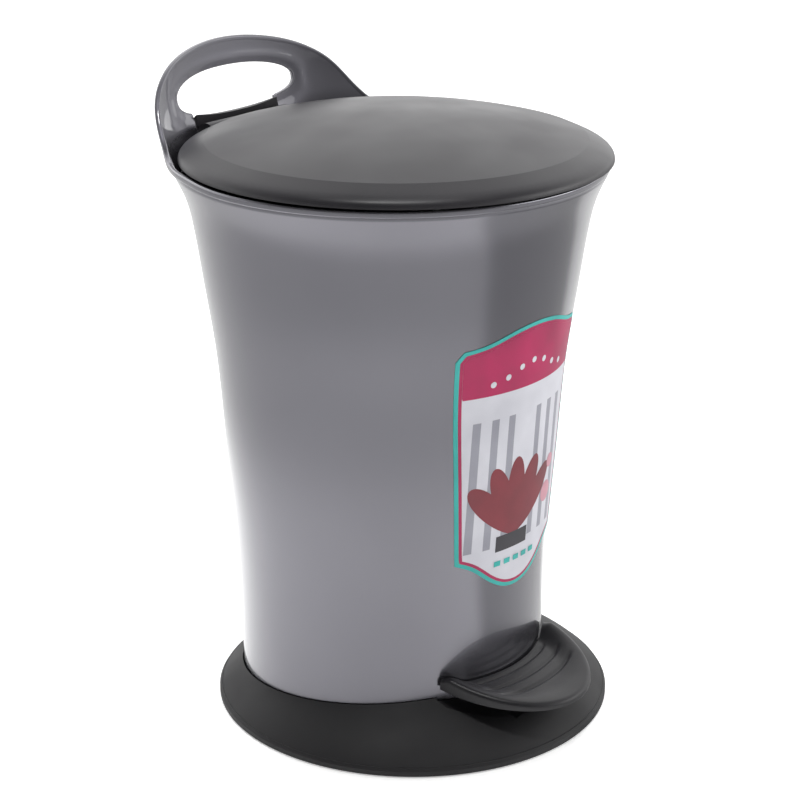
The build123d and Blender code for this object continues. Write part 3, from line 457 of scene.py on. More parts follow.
def spline(points: Points) -> Curve:
    """Natural cubic spline through points with rising first coordinates.

    Args:
        points: pairs of place and value.
    Returns:
        Function from place to value, level beyond the ends.
    """
    x = np.array([p[0] for p in points], float)
    y = np.array([p[1] for p in points], float)
    n = len(x)
    step = np.diff(x)
    system = np.eye(n)
    right = np.zeros(n)
    for i in range(1, n - 1):
        system[i, i - 1:i + 2] = step[i - 1], 2 * (step[i - 1] + step[i]), step[i]
        right[i] = 6 * ((y[i + 1] - y[i]) / step[i] - (y[i] - y[i - 1]) / step[i - 1])
    bend = np.linalg.solve(system, right)

    def value(at: Any) -> np.ndarray:
        """Value of the spline.

        Args:
            at: place or places.
        Returns:
            The value at each place.
        """
        at = np.clip(np.asarray(at, float), x[0], x[-1])
        i = np.clip(np.searchsorted(x, at) - 1, 0, n - 2)
        a, b, h = x[i + 1] - at, at - x[i], step[i]
        return (bend[i] * a ** 3 + bend[i + 1] * b ** 3) / (6 * h) + (
            (y[i] / h - bend[i] * h / 6) * a + (y[i + 1] / h - bend[i + 1] * h / 6) * b
        )

    return value


def mirrored_spline(points: Points) -> Curve:
    """Spline through points that start on the centre line, and through their mirror images."""
    return spline([(-x, z) for x, z in points[:0:-1]] + list(points))


def smoothstep(low: float, high: float, at: Any) -> np.ndarray:
    """Smooth rise from 0 at low to 1 at high."""
    t = np.clip((np.asarray(at, float) - low) / (high - low), 0, 1)
    return t * t * (3 - 2 * t)


def dress(node: str, finish: Finish) -> None:
    """Gives a carried-over node of the frame its finish.

    Args:
        node: name of the node.
        finish: its material.
    """
    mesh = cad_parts[node].data
    mesh.materials.clear()
    mesh.materials.append(finish.material())
    LOG.info("node %s: %s", node, finish.name)


def settle(piece: bpy.types.Object, body: str, replaced: Sequence[str] = ()) -> None:
    """Ties a piece to its body and hides the nodes that it stands for.

    Args:
        piece: the piece.
        body: body that it moves with.
        replaced: nodes that it replaces.
    """
    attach(piece, body)
    if replaced:
        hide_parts(*replaced)
    LOG.info("piece %s: %d faces on %s", piece.name, len(piece.data.polygons), body)


# Sub-assemblies

@dataclass
class OuterBody:
    """Flared round wall with a band round its rim that runs on over the edge of the handle panel."""

    bottom_z: float = 5.3
    outline: Points = (
        (5.3, 83.8), (50.0, 84.5), (104.0, 87.5), (152.0, 90.9), (203.0, 95.0), (238.0, 100.0),
        (269.0, 104.6), (284.0, 108.2), (297.0, 113.7),
    )
    rim_z: float = 301.8
    band_height: float = 3.5
    band_half_width: float = 1.42
    band_corner: float = 0.9
    band_inset: float = 0.5
    band_settle: float = 8.0
    wall: float = 2.0
    panel_wall: float = 2.8
    panel_reach: Points = (
        (269.0, 104.6), (284.0, 108.2), (290.0, 110.7), (299.0, 115.1), (308.0, 118.4), (317.0, 120.9),
        (326.0, 122.6), (335.0, 123.3), (344.0, 123.5), (353.0, 123.6),
    )
    panel_plan: Points = (
        (269.0, 104.6), (284.0, 108.2), (290.0, 110.7), (299.0, 115.1), (308.0, 121.5), (317.0, 128.5),
        (326.0, 134.0), (335.0, 136.5), (344.0, 137.5), (353.0, 138.0),
    )
    top_edge: Points = (
        (0.0, 350.5), (34.0, 347.0), (60.0, 337.5), (74.0, 324.0), (82.5, 310.0), (101.0, 302.4),
        (112.0, 301.8),
    )
    behind_cosine: float = 0.2
    blend_z: Point2 = (272.0, 284.0)
    panel_blend_deg: Point2 = (68.0, 48.0)
    fine_columns_deg: float = 69.0
    column_steps_deg: Point2 = (0.75, 1.5)
    wall_rows: int = 48
    panel_rows: int = 52
    edge_rounds: int = 30
    grip_centre_z: float = 323.2
    grip_half: Point2 = (46.0, 11.8)
    grip_power: float = 2.3
    grip_steps: int = 120
    grip_cut_y: Point2 = (95.0, 140.0)
    grip_edge_half: float = 0.6
    grip_edge_corner: float = 0.5
    grip_edge_bend: float = 1.5
    grip_edge_foot: float = 3.0
    grip_edge_proud: float = 0.02
    bend_steps: int = 6
    side_steps: int = 8
    lip_height: float = 0.3
    lip_middle: float = 4.0
    lip_width: float = 2.4
    lip_reach_rad: float = 1.2
    hinge: Point2 = (104.0, 303.5)
    notch_half_width: float = 33.0
    notch_radius: float = 12.85
    notch_z: Point2 = (300.5, 318.5)
    notch_depth: float = 20.0
    notch_steps: int = 48
    slot_half_width: float = 21.0
    slot_z: Point2 = (17.5, 30.7)
    slot_cut_y: Point2 = (-100.0, -60.0)
    floor_z: Point2 = (44.0, 46.0)
    floor_radius: float = 83.4
    floor_overlap: float = 0.3
    floor_steps: int = 128
    boss_offset: float = 49.5
    boss_radii: Point2 = (1.7, 5.0)
    boss_steps: int = 32
    axle: Point2 = (-40.0, 26.0)
    lug_x: float = 25.5
    lug_thickness: float = 5.0
    lug_radius: float = 6.5
    lug_steps: int = 25
    ear_x: float = 21.5
    ear_thickness: float = 4.0
    ear_boss: float = 4.2
    ear_steps: int = 21
    ear_neck: Points = (
        (94.0, 303.6), (88.5, 300.0), (88.5, 287.0), (94.0, 275.0), (101.8, 275.0),
        (104.3, 284.0), (105.0, 289.4), (94.5, 289.4), (94.3, 299.5), (101.0, 301.0),
    )

    def __post_init__(self) -> None:
        """Prepares the smooth profiles."""
        self.wall_radius: Curve = spline(self.outline)
        self.reach_of: Curve = spline(self.panel_reach)
        self.plan_of: Curve = spline(self.panel_plan)
        self.edge_of: Curve = mirrored_spline(self.top_edge)

    def grip_distance(self, x: np.ndarray, z: np.ndarray) -> np.ndarray:
        """Distance from the edge of the grip opening, seen from behind.

        Args:
            x: places across.
            z: heights.
        Returns:
            The distances, less than zero inside the opening.
        """
        p = self.grip_power
        u = np.abs(x) / self.grip_half[0] + TINY
        v = np.abs(z - self.grip_centre_z) / self.grip_half[1] + TINY
        level = (u ** p + v ** p) ** (1 / p)
        steep_x = (u / level) ** (p - 1) / self.grip_half[0]
        steep_z = (v / level) ** (p - 1) / self.grip_half[1]
        return (level - 1) / np.hypot(steep_x, steep_z)

    def surface(self, angle: np.ndarray, z: np.ndarray, depth: float, lip: bool = False) -> np.ndarray:
        """Points of the body's skin.

        Args:
            angle: angle from the back, towards +X, in radians.
            z: heights.
            depth: share of the thickness inward from the outer face, from 0 to 1.
            lip: whether the soft lip round the grip opening stands proud of the face.
        Returns:
            The points, one row each.
        """
        share = smoothstep(*self.panel_blend_deg, np.abs(np.degrees(angle)))
        lift = smoothstep(*self.blend_z, z)
        front = self.wall_radius(z) - depth * self.wall
        plan = self.plan_of(z) - depth * (self.wall + (self.panel_wall - self.wall) * lift)
        shift = self.reach_of(z) - self.plan_of(z)
        if lip:
            gap = self.grip_distance(plan * np.sin(angle), z)
            raised = self.lip_height * np.exp(-(((gap - self.lip_middle) / self.lip_width) ** 2))
            plan = plan + raised * (1 - 2 * depth) * (np.abs(angle) < self.lip_reach_rad)
        share = share * lift
        x = (1 - share) * front * np.sin(angle) + share * plan * np.sin(angle)
        y = (1 - share) * front * np.cos(angle) + share * (shift + plan * np.cos(angle))
        return np.stack([x, y, np.broadcast_to(z, x.shape)], -1)

    def angles(self) -> np.ndarray:
        """Angles of the columns, closer together behind.

        Returns:
            The angles from the back, towards +X, in radians.
        """
        reach, (fine, coarse) = self.fine_columns_deg, self.column_steps_deg
        back = np.radians(np.arange(-reach, reach, fine))
        front = np.radians(np.arange(reach, 360 - reach, coarse))
        turn = np.concatenate([back, front])
        return np.where(turn > np.pi, turn - 2 * np.pi, turn)

    def edge_height(self, angle: np.ndarray) -> np.ndarray:
        """Height of the middle of the edge band.

        Args:
            angle: angles from the back.
        Returns:
            The heights.
        """
        height = np.full(angle.shape, self.rim_z)
        behind = np.cos(angle) > self.behind_cosine
        for _ in range(self.edge_rounds):
            x = self.surface(angle, height, 0.0)[:, 0]
            wanted = np.where(behind, self.edge_of(x), self.rim_z)
            height = 0.5 * height + 0.5 * wanted
        return height - self.band_height / 2

    def shell(self) -> bpy.types.Object:
        """Wall and handle panel as one moulding, with the grip opening, notch and lever slot cut.

        Returns:
            The piece.
        """
        angle = self.angles()
        top = self.edge_height(angle)
        start = self.blend_z[0]
        rows = [np.full(angle.shape, z) for z in np.linspace(self.bottom_z, start, self.wall_rows)]
        rows += [start + t * (top - start) for t in np.linspace(0, 1, self.panel_rows + 1)[1:]]
        outer = np.concatenate([self.surface(angle, z, 0.0, lip=True) for z in rows])
        inner = np.concatenate([self.surface(angle, z, 1.0, lip=True) for z in rows])
        n, count = len(angle), len(rows)
        faces = grid_faces(count, n, wrap=True) + grid_faces(count, n, wrap=True, base=count * n)
        for row in (0, count - 1):
            a, b = row * n, count * n + row * n
            faces += [[a + c, a + (c + 1) % n, b + (c + 1) % n, b + c] for c in range(n)]
        made = new_piece("body_shell", (np.concatenate([outer, inner]), faces), FLAKE_BODY)
        cut(made, self.grip_cutter())
        cut(made, self.notch_cutter())
        half, (low, high) = self.slot_half_width, self.slot_z
        slot = [(-half, low), (half, low), (half, high), (-half, high)]
        cut(made, prism(slot, Along.Y, *self.slot_cut_y))
        return made

    def grip_ring(self, turn: np.ndarray) -> np.ndarray:
        """Outline of the grip opening, drawn out by half the height of its edge band.

        Args:
            turn: angles round the opening.
        Returns:
            X and height, one row each.
        """
        out = self.grip_edge_half
        c, s = np.cos(turn), np.sin(turn)
        x = (self.grip_half[0] + out) * np.sign(c) * np.abs(c) ** (2 / self.grip_power)
        z = (self.grip_half[1] + out) * np.sign(s) * np.abs(s) ** (2 / self.grip_power)
        return np.stack([x, self.grip_centre_z + z], 1)

    def grip_cutter(self) -> MeshData:
        """Prism of the grip opening."""
        ring = self.grip_ring(full_turn(self.grip_steps))
        return prism(ring.tolist(), Along.Y, *self.grip_cut_y)

    def notch_cutter(self) -> MeshData:
        """Prism of the notch that the hinge drum turns in.

        Returns:
            Vertices and faces.
        """
        y0, z0 = self.hinge
        low, high = self.notch_z
        back = y0 + self.notch_depth
        start = math.asin((low - z0) / self.notch_radius)
        turn = np.linspace(start, -1.5 * math.pi, self.notch_steps)
        profile = arc(self.hinge, self.notch_radius, turn) + [(y0, high), (back, high), (back, low)]
        return prism(profile, Along.X, -self.notch_half_width, self.notch_half_width)

    def edge_band(self) -> bpy.types.Object:
        """Band along the rim that runs up and over the edge of the handle panel.

        It stands near the outer face round the rim, and on the middle of the thickness over the panel.

        Returns:
            The piece.
        """
        angle = self.angles()
        height = self.edge_height(angle)
        front = self.surface(angle, height, self.band_inset / self.wall)
        back = self.surface(angle, height, 0.5)
        share = smoothstep(self.rim_z, self.rim_z + self.band_settle, height)[:, None]
        section = rounded_box_section(self.band_half_width, self.band_height / 2, self.band_corner)
        path = (1 - share) * front + share * back
        return new_piece("rim_band", sweep(path, section, closed=True), FLAKE_BODY)

    def grip_edge(self) -> bpy.types.Object:
        """Rounded edge of the grip opening that runs down both sides of the notch.

        Returns:
            The piece.
        """
        ring = self.grip_ring(np.linspace(-0.5 * math.pi, 1.5 * math.pi, 4 * self.grip_steps + 1))
        side = self.notch_half_width + self.grip_edge_half
        bend = self.grip_edge_bend
        keep = (ring[:, 1] > self.grip_centre_z) | (np.abs(ring[:, 0]) > side + bend)
        ring = ring[keep]
        foot = ring[0, 1]
        turn = np.linspace(0, np.pi / 2, self.bend_steps)
        right = np.stack([side + bend * (1 - np.cos(turn)), foot - bend * (1 - np.sin(turn))], 1)
        lowest = self.notch_z[0] + self.grip_edge_foot
        heights = np.linspace(lowest, foot - bend, self.side_steps, endpoint=False)
        straight = np.stack([np.full(self.side_steps, side), heights], 1)
        right = np.concatenate([straight, right[:-1]])
        left = right[::-1] * np.array([-1.0, 1.0])
        x, z = np.concatenate([right, ring, left]).T
        middle = self.plan_of(z) - self.panel_wall / 2
        shift = self.reach_of(z) - self.plan_of(z)
        path = np.stack([x, shift + np.sqrt(middle ** 2 - x ** 2), z], 1)
        half = self.panel_wall / 2 + self.grip_edge_proud
        section = rounded_box_section(half, self.grip_edge_half, self.grip_edge_corner)
        return new_piece("grip_edge", sweep(path, section, closed=False), FLAKE_BODY)

    def under_floor(self) -> bpy.types.Object:
        """Raised floor with its screw bosses and the lugs that hold the lever's axle.

        Returns:
            The piece.
        """
        low, high = self.floor_z
        root = low + self.floor_overlap
        plate = arc((0.0, 0.0), self.floor_radius, full_turn(self.floor_steps))
        parts = [prism(plate, Along.Z, low, high)]
        bore, outside = self.boss_radii
        boss = [(bore, self.bottom_z), (outside, self.bottom_z), (outside, root), (bore, root)]
        for x in (-self.boss_offset, self.boss_offset):
            for y in (-self.boss_offset, self.boss_offset):
                parts.append(lathe(boss, (x, y), self.boss_steps))
        lug = arc(self.axle, self.lug_radius, np.linspace(math.pi, 2 * math.pi, self.lug_steps))
        lug += [(self.axle[0] + self.lug_radius, root), (self.axle[0] - self.lug_radius, root)]
        half = self.lug_thickness / 2
        parts += [prism(lug, Along.X, x - half, x + half) for x in (-self.lug_x, self.lug_x)]
        return new_piece("body_floor", joined(parts), FLAKE_BODY)

    def ears(self) -> bpy.types.Object:
        """Swan-necked ears that carry the lid's pin inside its drum.

        Returns:
            The piece.
        """
        turn = np.linspace(-0.5 * math.pi, 0.5 * math.pi, self.ear_steps)
        profile = arc(self.hinge, self.ear_boss, turn) + list(self.ear_neck)
        half = self.ear_thickness / 2
        parts = [prism(profile, Along.X, x - half, x + half) for x in (-self.ear_x, self.ear_x)]
        return new_piece("hinge_ears", joined(parts), FLAKE_BODY)

    def build(self) -> None:
        """Makes the body's pieces and ties them to the frame."""
        settle(self.shell(), "root", ["outer_body"])
        for piece in (self.edge_band(), self.grip_edge(), self.under_floor(), self.ears()):
            settle(piece, "root")


@dataclass
class Pedal:
    """Half-ellipse tread that falls to its tip, with a soft rise to its round rim and three arc grooves."""

    half_width: float = 47.0
    back_y: float = -72.6
    tip_y: float = -128.0
    wall_radius: float = 85.3
    rim_z: Point2 = (41.0, 29.0)
    base_z: Point2 = (33.0, 25.8)
    tread_z: Point2 = (34.5, 28.2)
    tread_thickness: float = 3.5
    rim_round: float = 2.4
    slope_shares: Point2 = (0.66, 0.96)
    corner_drop: float = 2.6
    corner_x: Point2 = (36.0, 46.0)
    corner_y: Point2 = (-79.0, -72.6)
    under_edge: Point2 = (3.0, 6.0)
    grooves: Sequence[Point2] = ((-88.5, 31.0), (-97.0, 34.0), (-106.0, 33.0))
    groove_bow: float = 105.0
    groove_width: float = 1.1
    groove_depth: float = 1.0
    groove_fade: Point2 = (2.0, -6.0)
    spokes: int = 240
    rim_steps: Sequence[float] = (0.0, 0.15, 0.35, 0.6, 0.9, 1.2, 1.6, 2.1, 2.8, 3.6, 4.6, 5.8, 7.2)
    inner_steps: int = 64
    wall_samples: int = 2001
    last_share: float = 0.999
    crease_deg: float = 50.0

    def slope(self, ends: Point2, y: np.ndarray) -> np.ndarray:
        """Height on a straight slope from the wall to the tip."""
        return ends[1] + (ends[0] - ends[1]) * (y - self.tip_y) / (self.back_y - self.tip_y)

    def place(self, u: np.ndarray, angle: float) -> Tuple[np.ndarray, np.ndarray]:
        """Plan position at a share of the way out to the rim along a spoke."""
        depth = self.back_y - self.tip_y
        return self.half_width * u * math.cos(angle), self.back_y + depth * u * math.sin(angle)

    def inner_share(self, angle: float) -> float:
        """Share of a spoke at which it leaves the body's wall.

        Args:
            angle: angle of the spoke.
        Returns:
            The share.
        """
        shares = np.linspace(0, 1, self.wall_samples)
        outside = np.nonzero(np.hypot(*self.place(shares, angle)) >= self.wall_radius)[0]
        return float(shares[outside[0]]) if len(outside) else self.last_share

    def top(self, x: np.ndarray, y: np.ndarray, u: np.ndarray, edge: np.ndarray) -> np.ndarray:
        """Height of the upper face.

        Args:
            x: places across.
            y: places along.
            u: shares of the way out to the rim.
            edge: distances in from the rim.
        Returns:
            The heights.
        """
        tread = self.slope(self.tread_z, y)
        height = tread + (self.slope(self.rim_z, y) - tread) * smoothstep(*self.slope_shares, u)
        height -= self.corner_drop * smoothstep(*self.corner_y, y) * smoothstep(*self.corner_x, np.abs(x))
        outer = np.clip(self.rim_round - edge, 0, self.rim_round)
        height -= self.rim_round - np.sqrt(np.maximum(self.rim_round ** 2 - outer ** 2, 0))
        fade_out, fade_in = self.groove_fade
        for groove_y, half in self.grooves:
            middle = groove_y + self.groove_bow
            off = np.hypot(x, y - middle) - self.groove_bow
            fade = smoothstep(half + fade_out, half + fade_in, np.abs(x)) * (y < middle)
            height -= self.groove_depth * fade * np.exp(-((off / self.groove_width) ** 2))
        return height

    def under(self, y: np.ndarray, edge: np.ndarray) -> np.ndarray:
        """Height of the lower face, which is flush with the rim's foot along the edge.

        Args:
            y: places along.
            edge: distances in from the rim.
        Returns:
            The heights.
        """
        tread = self.slope(self.tread_z, y) - self.tread_thickness
        base = self.slope(self.base_z, y)
        return base + (tread - base) * smoothstep(*self.under_edge, edge)

    def build(self) -> None:
        """Makes the tread and ties it to the lever's body."""
        uppers, lowers = [], []
        for angle in np.linspace(math.pi, 2 * math.pi, self.spokes):
            start = self.inner_share(angle)
            (x0, x1), (y0, y1) = self.place(np.array([0.0, 1.0]), angle)
            span = np.hypot(x1 - x0, y1 - y0)
            near_rim = 1 - np.array(self.rim_steps[::-1]) / span
            inner = np.linspace(start, max(near_rim[0], start), self.inner_steps, endpoint=False)
            near_rim = np.maximum(near_rim, start + (1 - start) * np.linspace(0, 1, len(near_rim)))
            u = np.maximum.accumulate(np.concatenate([inner, near_rim]))
            x, y = self.place(u, angle)
            edge = (1 - u) * span
            uppers.append(np.stack([x, y, self.top(x, y, u, edge)], -1))
            lowers.append(np.stack([x, y, self.under(y, edge)], -1))
        rows, columns = self.spokes, len(uppers[0])
        half = rows * columns
        faces = grid_faces(rows, columns, wrap=False) + grid_faces(rows, columns, wrap=False, base=half)
        border = [r * columns for r in range(rows)] + [(rows - 1) * columns + c for c in range(1, columns)]
        border += [r * columns + columns - 1 for r in range(rows - 2, -1, -1)]
        border += list(range(columns - 2, 0, -1))
        faces += [[a, b, half + b, half + a] for a, b in zip(border, border[1:] + border[:1])]
        data = (np.concatenate(uppers + lowers), faces)
        made = new_piece("pedal_tread", data, ERODED_BLACK, self.crease_deg)
        settle(made, "pedal_arm", ["pedal"])


@dataclass
class Sticker:
    """Printed label on the front wall: two coloured borders round a pale field with plain shapes."""

    body: OuterBody
    centre_x: float = -1.5
    crown: Points = ((0.0, 232.6), (9.0, 232.0), (20.0, 229.8), (33.0, 225.8), (45.0, 223.6))
    shoulder: Point2 = (48.5, 218.5)
    foot: Points = ((0.0, 82.8), (8.0, 83.9), (20.0, 90.2), (31.0, 98.8), (40.0, 103.3))
    gap: float = 0.1
    paper: float = 0.2
    layer: float = 0.03
    teal_border: float = 2.1
    magenta_border: float = 1.6
    edge_steps: int = 97
    edge_samples: int = 4001
    slope_step: float = 0.1
    cell: Point2 = (2.5, 8.0)
    banner_foot: float = 197.0
    stripe_x: Sequence[float] = (-34.0, -23.0, -12.0, 10.0, 21.0, 32.0)
    stripe_z: float = 146.0
    stripe_size: Point2 = (4.5, 74.0)
    leaf_foot: Point2 = (-5.0, 114.0)
    leaf_size: Point2 = (44.0, 15.0)
    leaf_leans_deg: Sequence[float] = (-44.0, -22.0, 0.0, 22.0, 44.0)
    leaf_steps: int = 40
    pot_centre: Point2 = (-5.0, 110.5)
    pot_size: Point2 = (24.0, 9.0)
    pink_dots: Sequence[Point3] = ((26.0, 128.0, 6.0), (29.0, 145.0, 4.0))
    banner_dots_aside: int = 3
    banner_dot_pitch: float = 9.0
    banner_dot_z: float = 207.0
    banner_dot_wave: float = 4.0
    banner_dot_radius: float = 1.7
    dot_steps: int = 32
    chips: int = 5
    first_chip: Point2 = (-15.0, 99.0)
    chip_pitch: float = 7.0
    chip_size: Point2 = (4.4, 3.0)
    teal: Finish = field(default_factory=lambda: ink("teal", "#2FB5AE", "#279F99"))
    magenta: Finish = field(default_factory=lambda: ink("magenta", "#B30A54", "#960846"))
    pale: Finish = field(default_factory=lambda: ink("pale_grey", "#CFCFD6", "#BFBFC7"))
    mid: Finish = field(default_factory=lambda: ink("mid_grey", "#9A9AA4", "#8A8A94"))
    dark: Finish = field(default_factory=lambda: ink("dark_grey", "#3E3C42", "#323036"))
    crimson: Finish = field(default_factory=lambda: ink("crimson", "#86303A", "#6E2730"))
    pink: Finish = field(default_factory=lambda: ink("pink", "#C98F9C", "#B9808D"))

    def __post_init__(self) -> None:
        """Prepares the smooth crown and foot."""
        self.crown_of: Curve = mirrored_spline(self.crown)
        self.foot_of: Curve = mirrored_spline(self.foot)

    def slope(self, curve: Curve, x: np.ndarray) -> np.ndarray:
        """Slope of a curve at each place."""
        step = self.slope_step
        return (curve(x + step) - curve(x - step)) / (2 * step)

    def low(self, x: np.ndarray, inset: float) -> np.ndarray:
        """Lower edge of the outline drawn in by an inset.

        Args:
            x: distances from the centre line, none less than zero.
            inset: distance that the outline is drawn in by.
        Returns:
            The heights: of the foot, or of the leaning side where that is higher.
        """
        (x0, z0), (x1, z1) = self.foot[-1], self.shoulder
        lean = (x1 - x0) / (z1 - z0)
        side = z0 + (x - x0 + inset * math.hypot(1, lean)) / lean
        return np.maximum(self.foot_of(x) + inset * np.hypot(1, self.slope(self.foot_of, x)), side)

    def high(self, x: np.ndarray, inset: float) -> np.ndarray:
        """Upper edge of the outline drawn in by an inset.

        Args:
            x: distances from the centre line, none less than zero.
            inset: distance that the outline is drawn in by.
        Returns:
            The heights: of the crown, or of the cut corner where that is lower.
        """
        (x0, z0), (x1, z1) = self.crown[-1], self.shoulder
        fall = (z1 - z0) / (x1 - x0)
        corner = z0 + fall * (x - x0) - inset * math.hypot(1, fall)
        return np.minimum(self.crown_of(x) - inset * np.hypot(1, self.slope(self.crown_of, x)), corner)

    def outline(self, inset: float, floor_z: float = 0.0) -> List[Point2]:
        """Outline of the sticker drawn in by an inset.

        Args:
            inset: distance that the outline is drawn in by.
            floor_z: the outline is cut off below this height.
        Returns:
            X from the centre line and height, anticlockwise.
        """
        fine = np.linspace(0, self.shoulder[0], self.edge_samples)
        low, high = np.maximum(self.low(fine, inset), floor_z), self.high(fine, inset)
        reach = fine[np.nonzero(high > low)[0][-1]]
        x = np.linspace(0, reach, self.edge_steps)
        low = np.maximum(self.low(x, inset), floor_z)
        high = np.maximum(self.high(x, inset), low)
        right_low, right_high = list(zip(x, low)), list(zip(x, high))
        left_high = [(-a, b) for a, b in right_high[1:-1]]
        left_low = [(-a, b) for a, b in right_low[:0:-1]]
        ring = right_low[:-1] + right_high[::-1] + left_high + left_low
        return [(float(a), float(b)) for a, b in ring]

    def flat_mesh(self, ring: Points) -> bmesh.types.BMesh:
        """Flat face of an outline, divided finely enough to bend round the wall.

        Args:
            ring: outline in X and height.
        Returns:
            The divided face.
        """
        work = bmesh.new()
        work.faces.new([work.verts.new((x, z, 0)) for x, z in ring])
        xs, zs = [x for x, _ in ring], [z for _, z in ring]
        wide, tall = self.cell
        cuts = [((x, 0, 0), (1, 0, 0)) for x in np.arange(min(xs) + wide, max(xs), wide)]
        cuts += [((0, z, 0), (0, 1, 0)) for z in np.arange(min(zs) + tall, max(zs), tall)]
        for place, normal in cuts:
            everything = work.verts[:] + work.edges[:] + work.faces[:]
            bmesh.ops.bisect_plane(work, geom=everything, plane_co=place, plane_no=normal)
        bmesh.ops.triangulate(work, faces=work.faces)
        return work

    def wrapped(self, ring: Points, lift: float, thickness: float) -> MeshData:
        """Thin closed layer of an outline wrapped on the wall.

        Args:
            ring: outline in X from the sticker's centre and height.
            lift: distance from the wall to its back.
            thickness: thickness of the layer.
        Returns:
            Vertices and faces.
        """
        flat = self.flat_mesh(ring)
        flat.verts.ensure_lookup_table()
        across = np.array([v.co.x for v in flat.verts]) + self.centre_x
        height = np.array([v.co.y for v in flat.verts])
        layers = []
        for distance in (lift + thickness, lift):
            radius = self.body.wall_radius(height) + distance
            layers.append(np.stack([across, -np.sqrt(radius ** 2 - across ** 2), height], 1))
        count = len(flat.verts)
        faces: List[Sequence[int]] = [[v.index for v in f.verts] for f in flat.faces]
        faces += [[count + v.index for v in reversed(f.verts)] for f in flat.faces]
        for edge in flat.edges:
            if len(edge.link_faces) == 1:
                a, b = edge.verts[0].index, edge.verts[1].index
                faces.append([a, b, count + b, count + a])
        flat.free()
        return np.concatenate(layers), faces

    def dot(self, x: float, z: float, radius: float) -> List[Point2]:
        """Outline of a dot."""
        return arc((x, z), radius, full_turn(self.dot_steps))

    def bar(self, x: float, z: float, width: float, height: float) -> List[Point2]:
        """Outline of an upright rectangle about a centre."""
        a, b = width / 2, height / 2
        return [(x - a, z - b), (x + a, z - b), (x + a, z + b), (x - a, z + b)]

    def leaf(self, x: float, z: float, length: float, width: float, lean_deg: float) -> List[Point2]:
        """Outline of a pointed leaf that leans from the upright.

        Args:
            x: place of its foot.
            z: height of its foot.
            length: its length.
            width: its greatest width.
            lean_deg: its lean.
        Returns:
            The outline, anticlockwise.
        """
        c, s = math.cos(math.radians(lean_deg)), math.sin(math.radians(lean_deg))
        ring = []
        for t in np.linspace(2 * math.pi, 0, self.leaf_steps, endpoint=False):
            along = length / 2 * (1 - math.cos(t))
            side = width / 2 * math.sin(t) * abs(math.sin(t / 2)) ** 0.5
            ring.append((x + along * s + side * c, z + along * c - side * s))
        return ring

    def motifs(self) -> List[Tuple[str, Finish, List[List[Point2]]]]:
        """Printed layers over the sheet, from the lowest up.

        Returns:
            Name, ink and outlines of each layer.
        """
        field_inset = self.teal_border + self.magenta_border
        steps = range(-self.banner_dots_aside, self.banner_dots_aside + 1)
        waves = [(k, self.banner_dot_z + self.banner_dot_wave * math.cos(k)) for k in steps]
        dots = [self.dot(self.banner_dot_pitch * k, z, self.banner_dot_radius) for k, z in waves]
        stripes = [self.bar(x, self.stripe_z, *self.stripe_size) for x in self.stripe_x]
        leaves = [self.leaf(*self.leaf_foot, *self.leaf_size, lean) for lean in self.leaf_leans_deg]
        chip_x, chip_z = self.first_chip
        chips = [self.bar(chip_x + self.chip_pitch * k, chip_z, *self.chip_size) for k in range(self.chips)]
        return [
            ("sticker_magenta_border", self.magenta, [self.outline(self.teal_border)]),
            ("sticker_field", self.pale, [self.outline(field_inset)]),
            ("sticker_stripes", self.mid, stripes),
            ("sticker_banner", self.magenta, [self.outline(field_inset, floor_z=self.banner_foot)]),
            ("sticker_leaves", self.crimson, leaves),
            ("sticker_pot", self.dark, [self.bar(*self.pot_centre, *self.pot_size)]),
            ("sticker_pink_dots", self.pink, [self.dot(*dot) for dot in self.pink_dots]),
            ("sticker_banner_dots", self.pale, dots),
            ("sticker_chips", self.teal, chips),
        ]

    def build(self) -> None:
        """Makes the sticker's layers and ties them to the body."""
        sheet = new_piece("sticker_sheet", self.wrapped(self.outline(0.0), self.gap, self.paper), self.teal)
        settle(sheet, "root", ["front_label"])
        for level, (name, finish, rings) in enumerate(self.motifs()):
            lift = self.gap + self.paper + level * self.layer
            parts = [self.wrapped(ring, lift, self.layer) for ring in rings]
            settle(new_piece(name, joined(parts), finish), "root")


@dataclass(frozen=True)
class SoftBox:
    """Rectangular studio light. Mirrored says whether glossy surfaces show it."""

    name: str
    at_m: Point3
    size_m: Point2
    watts: float
    mirrored: bool


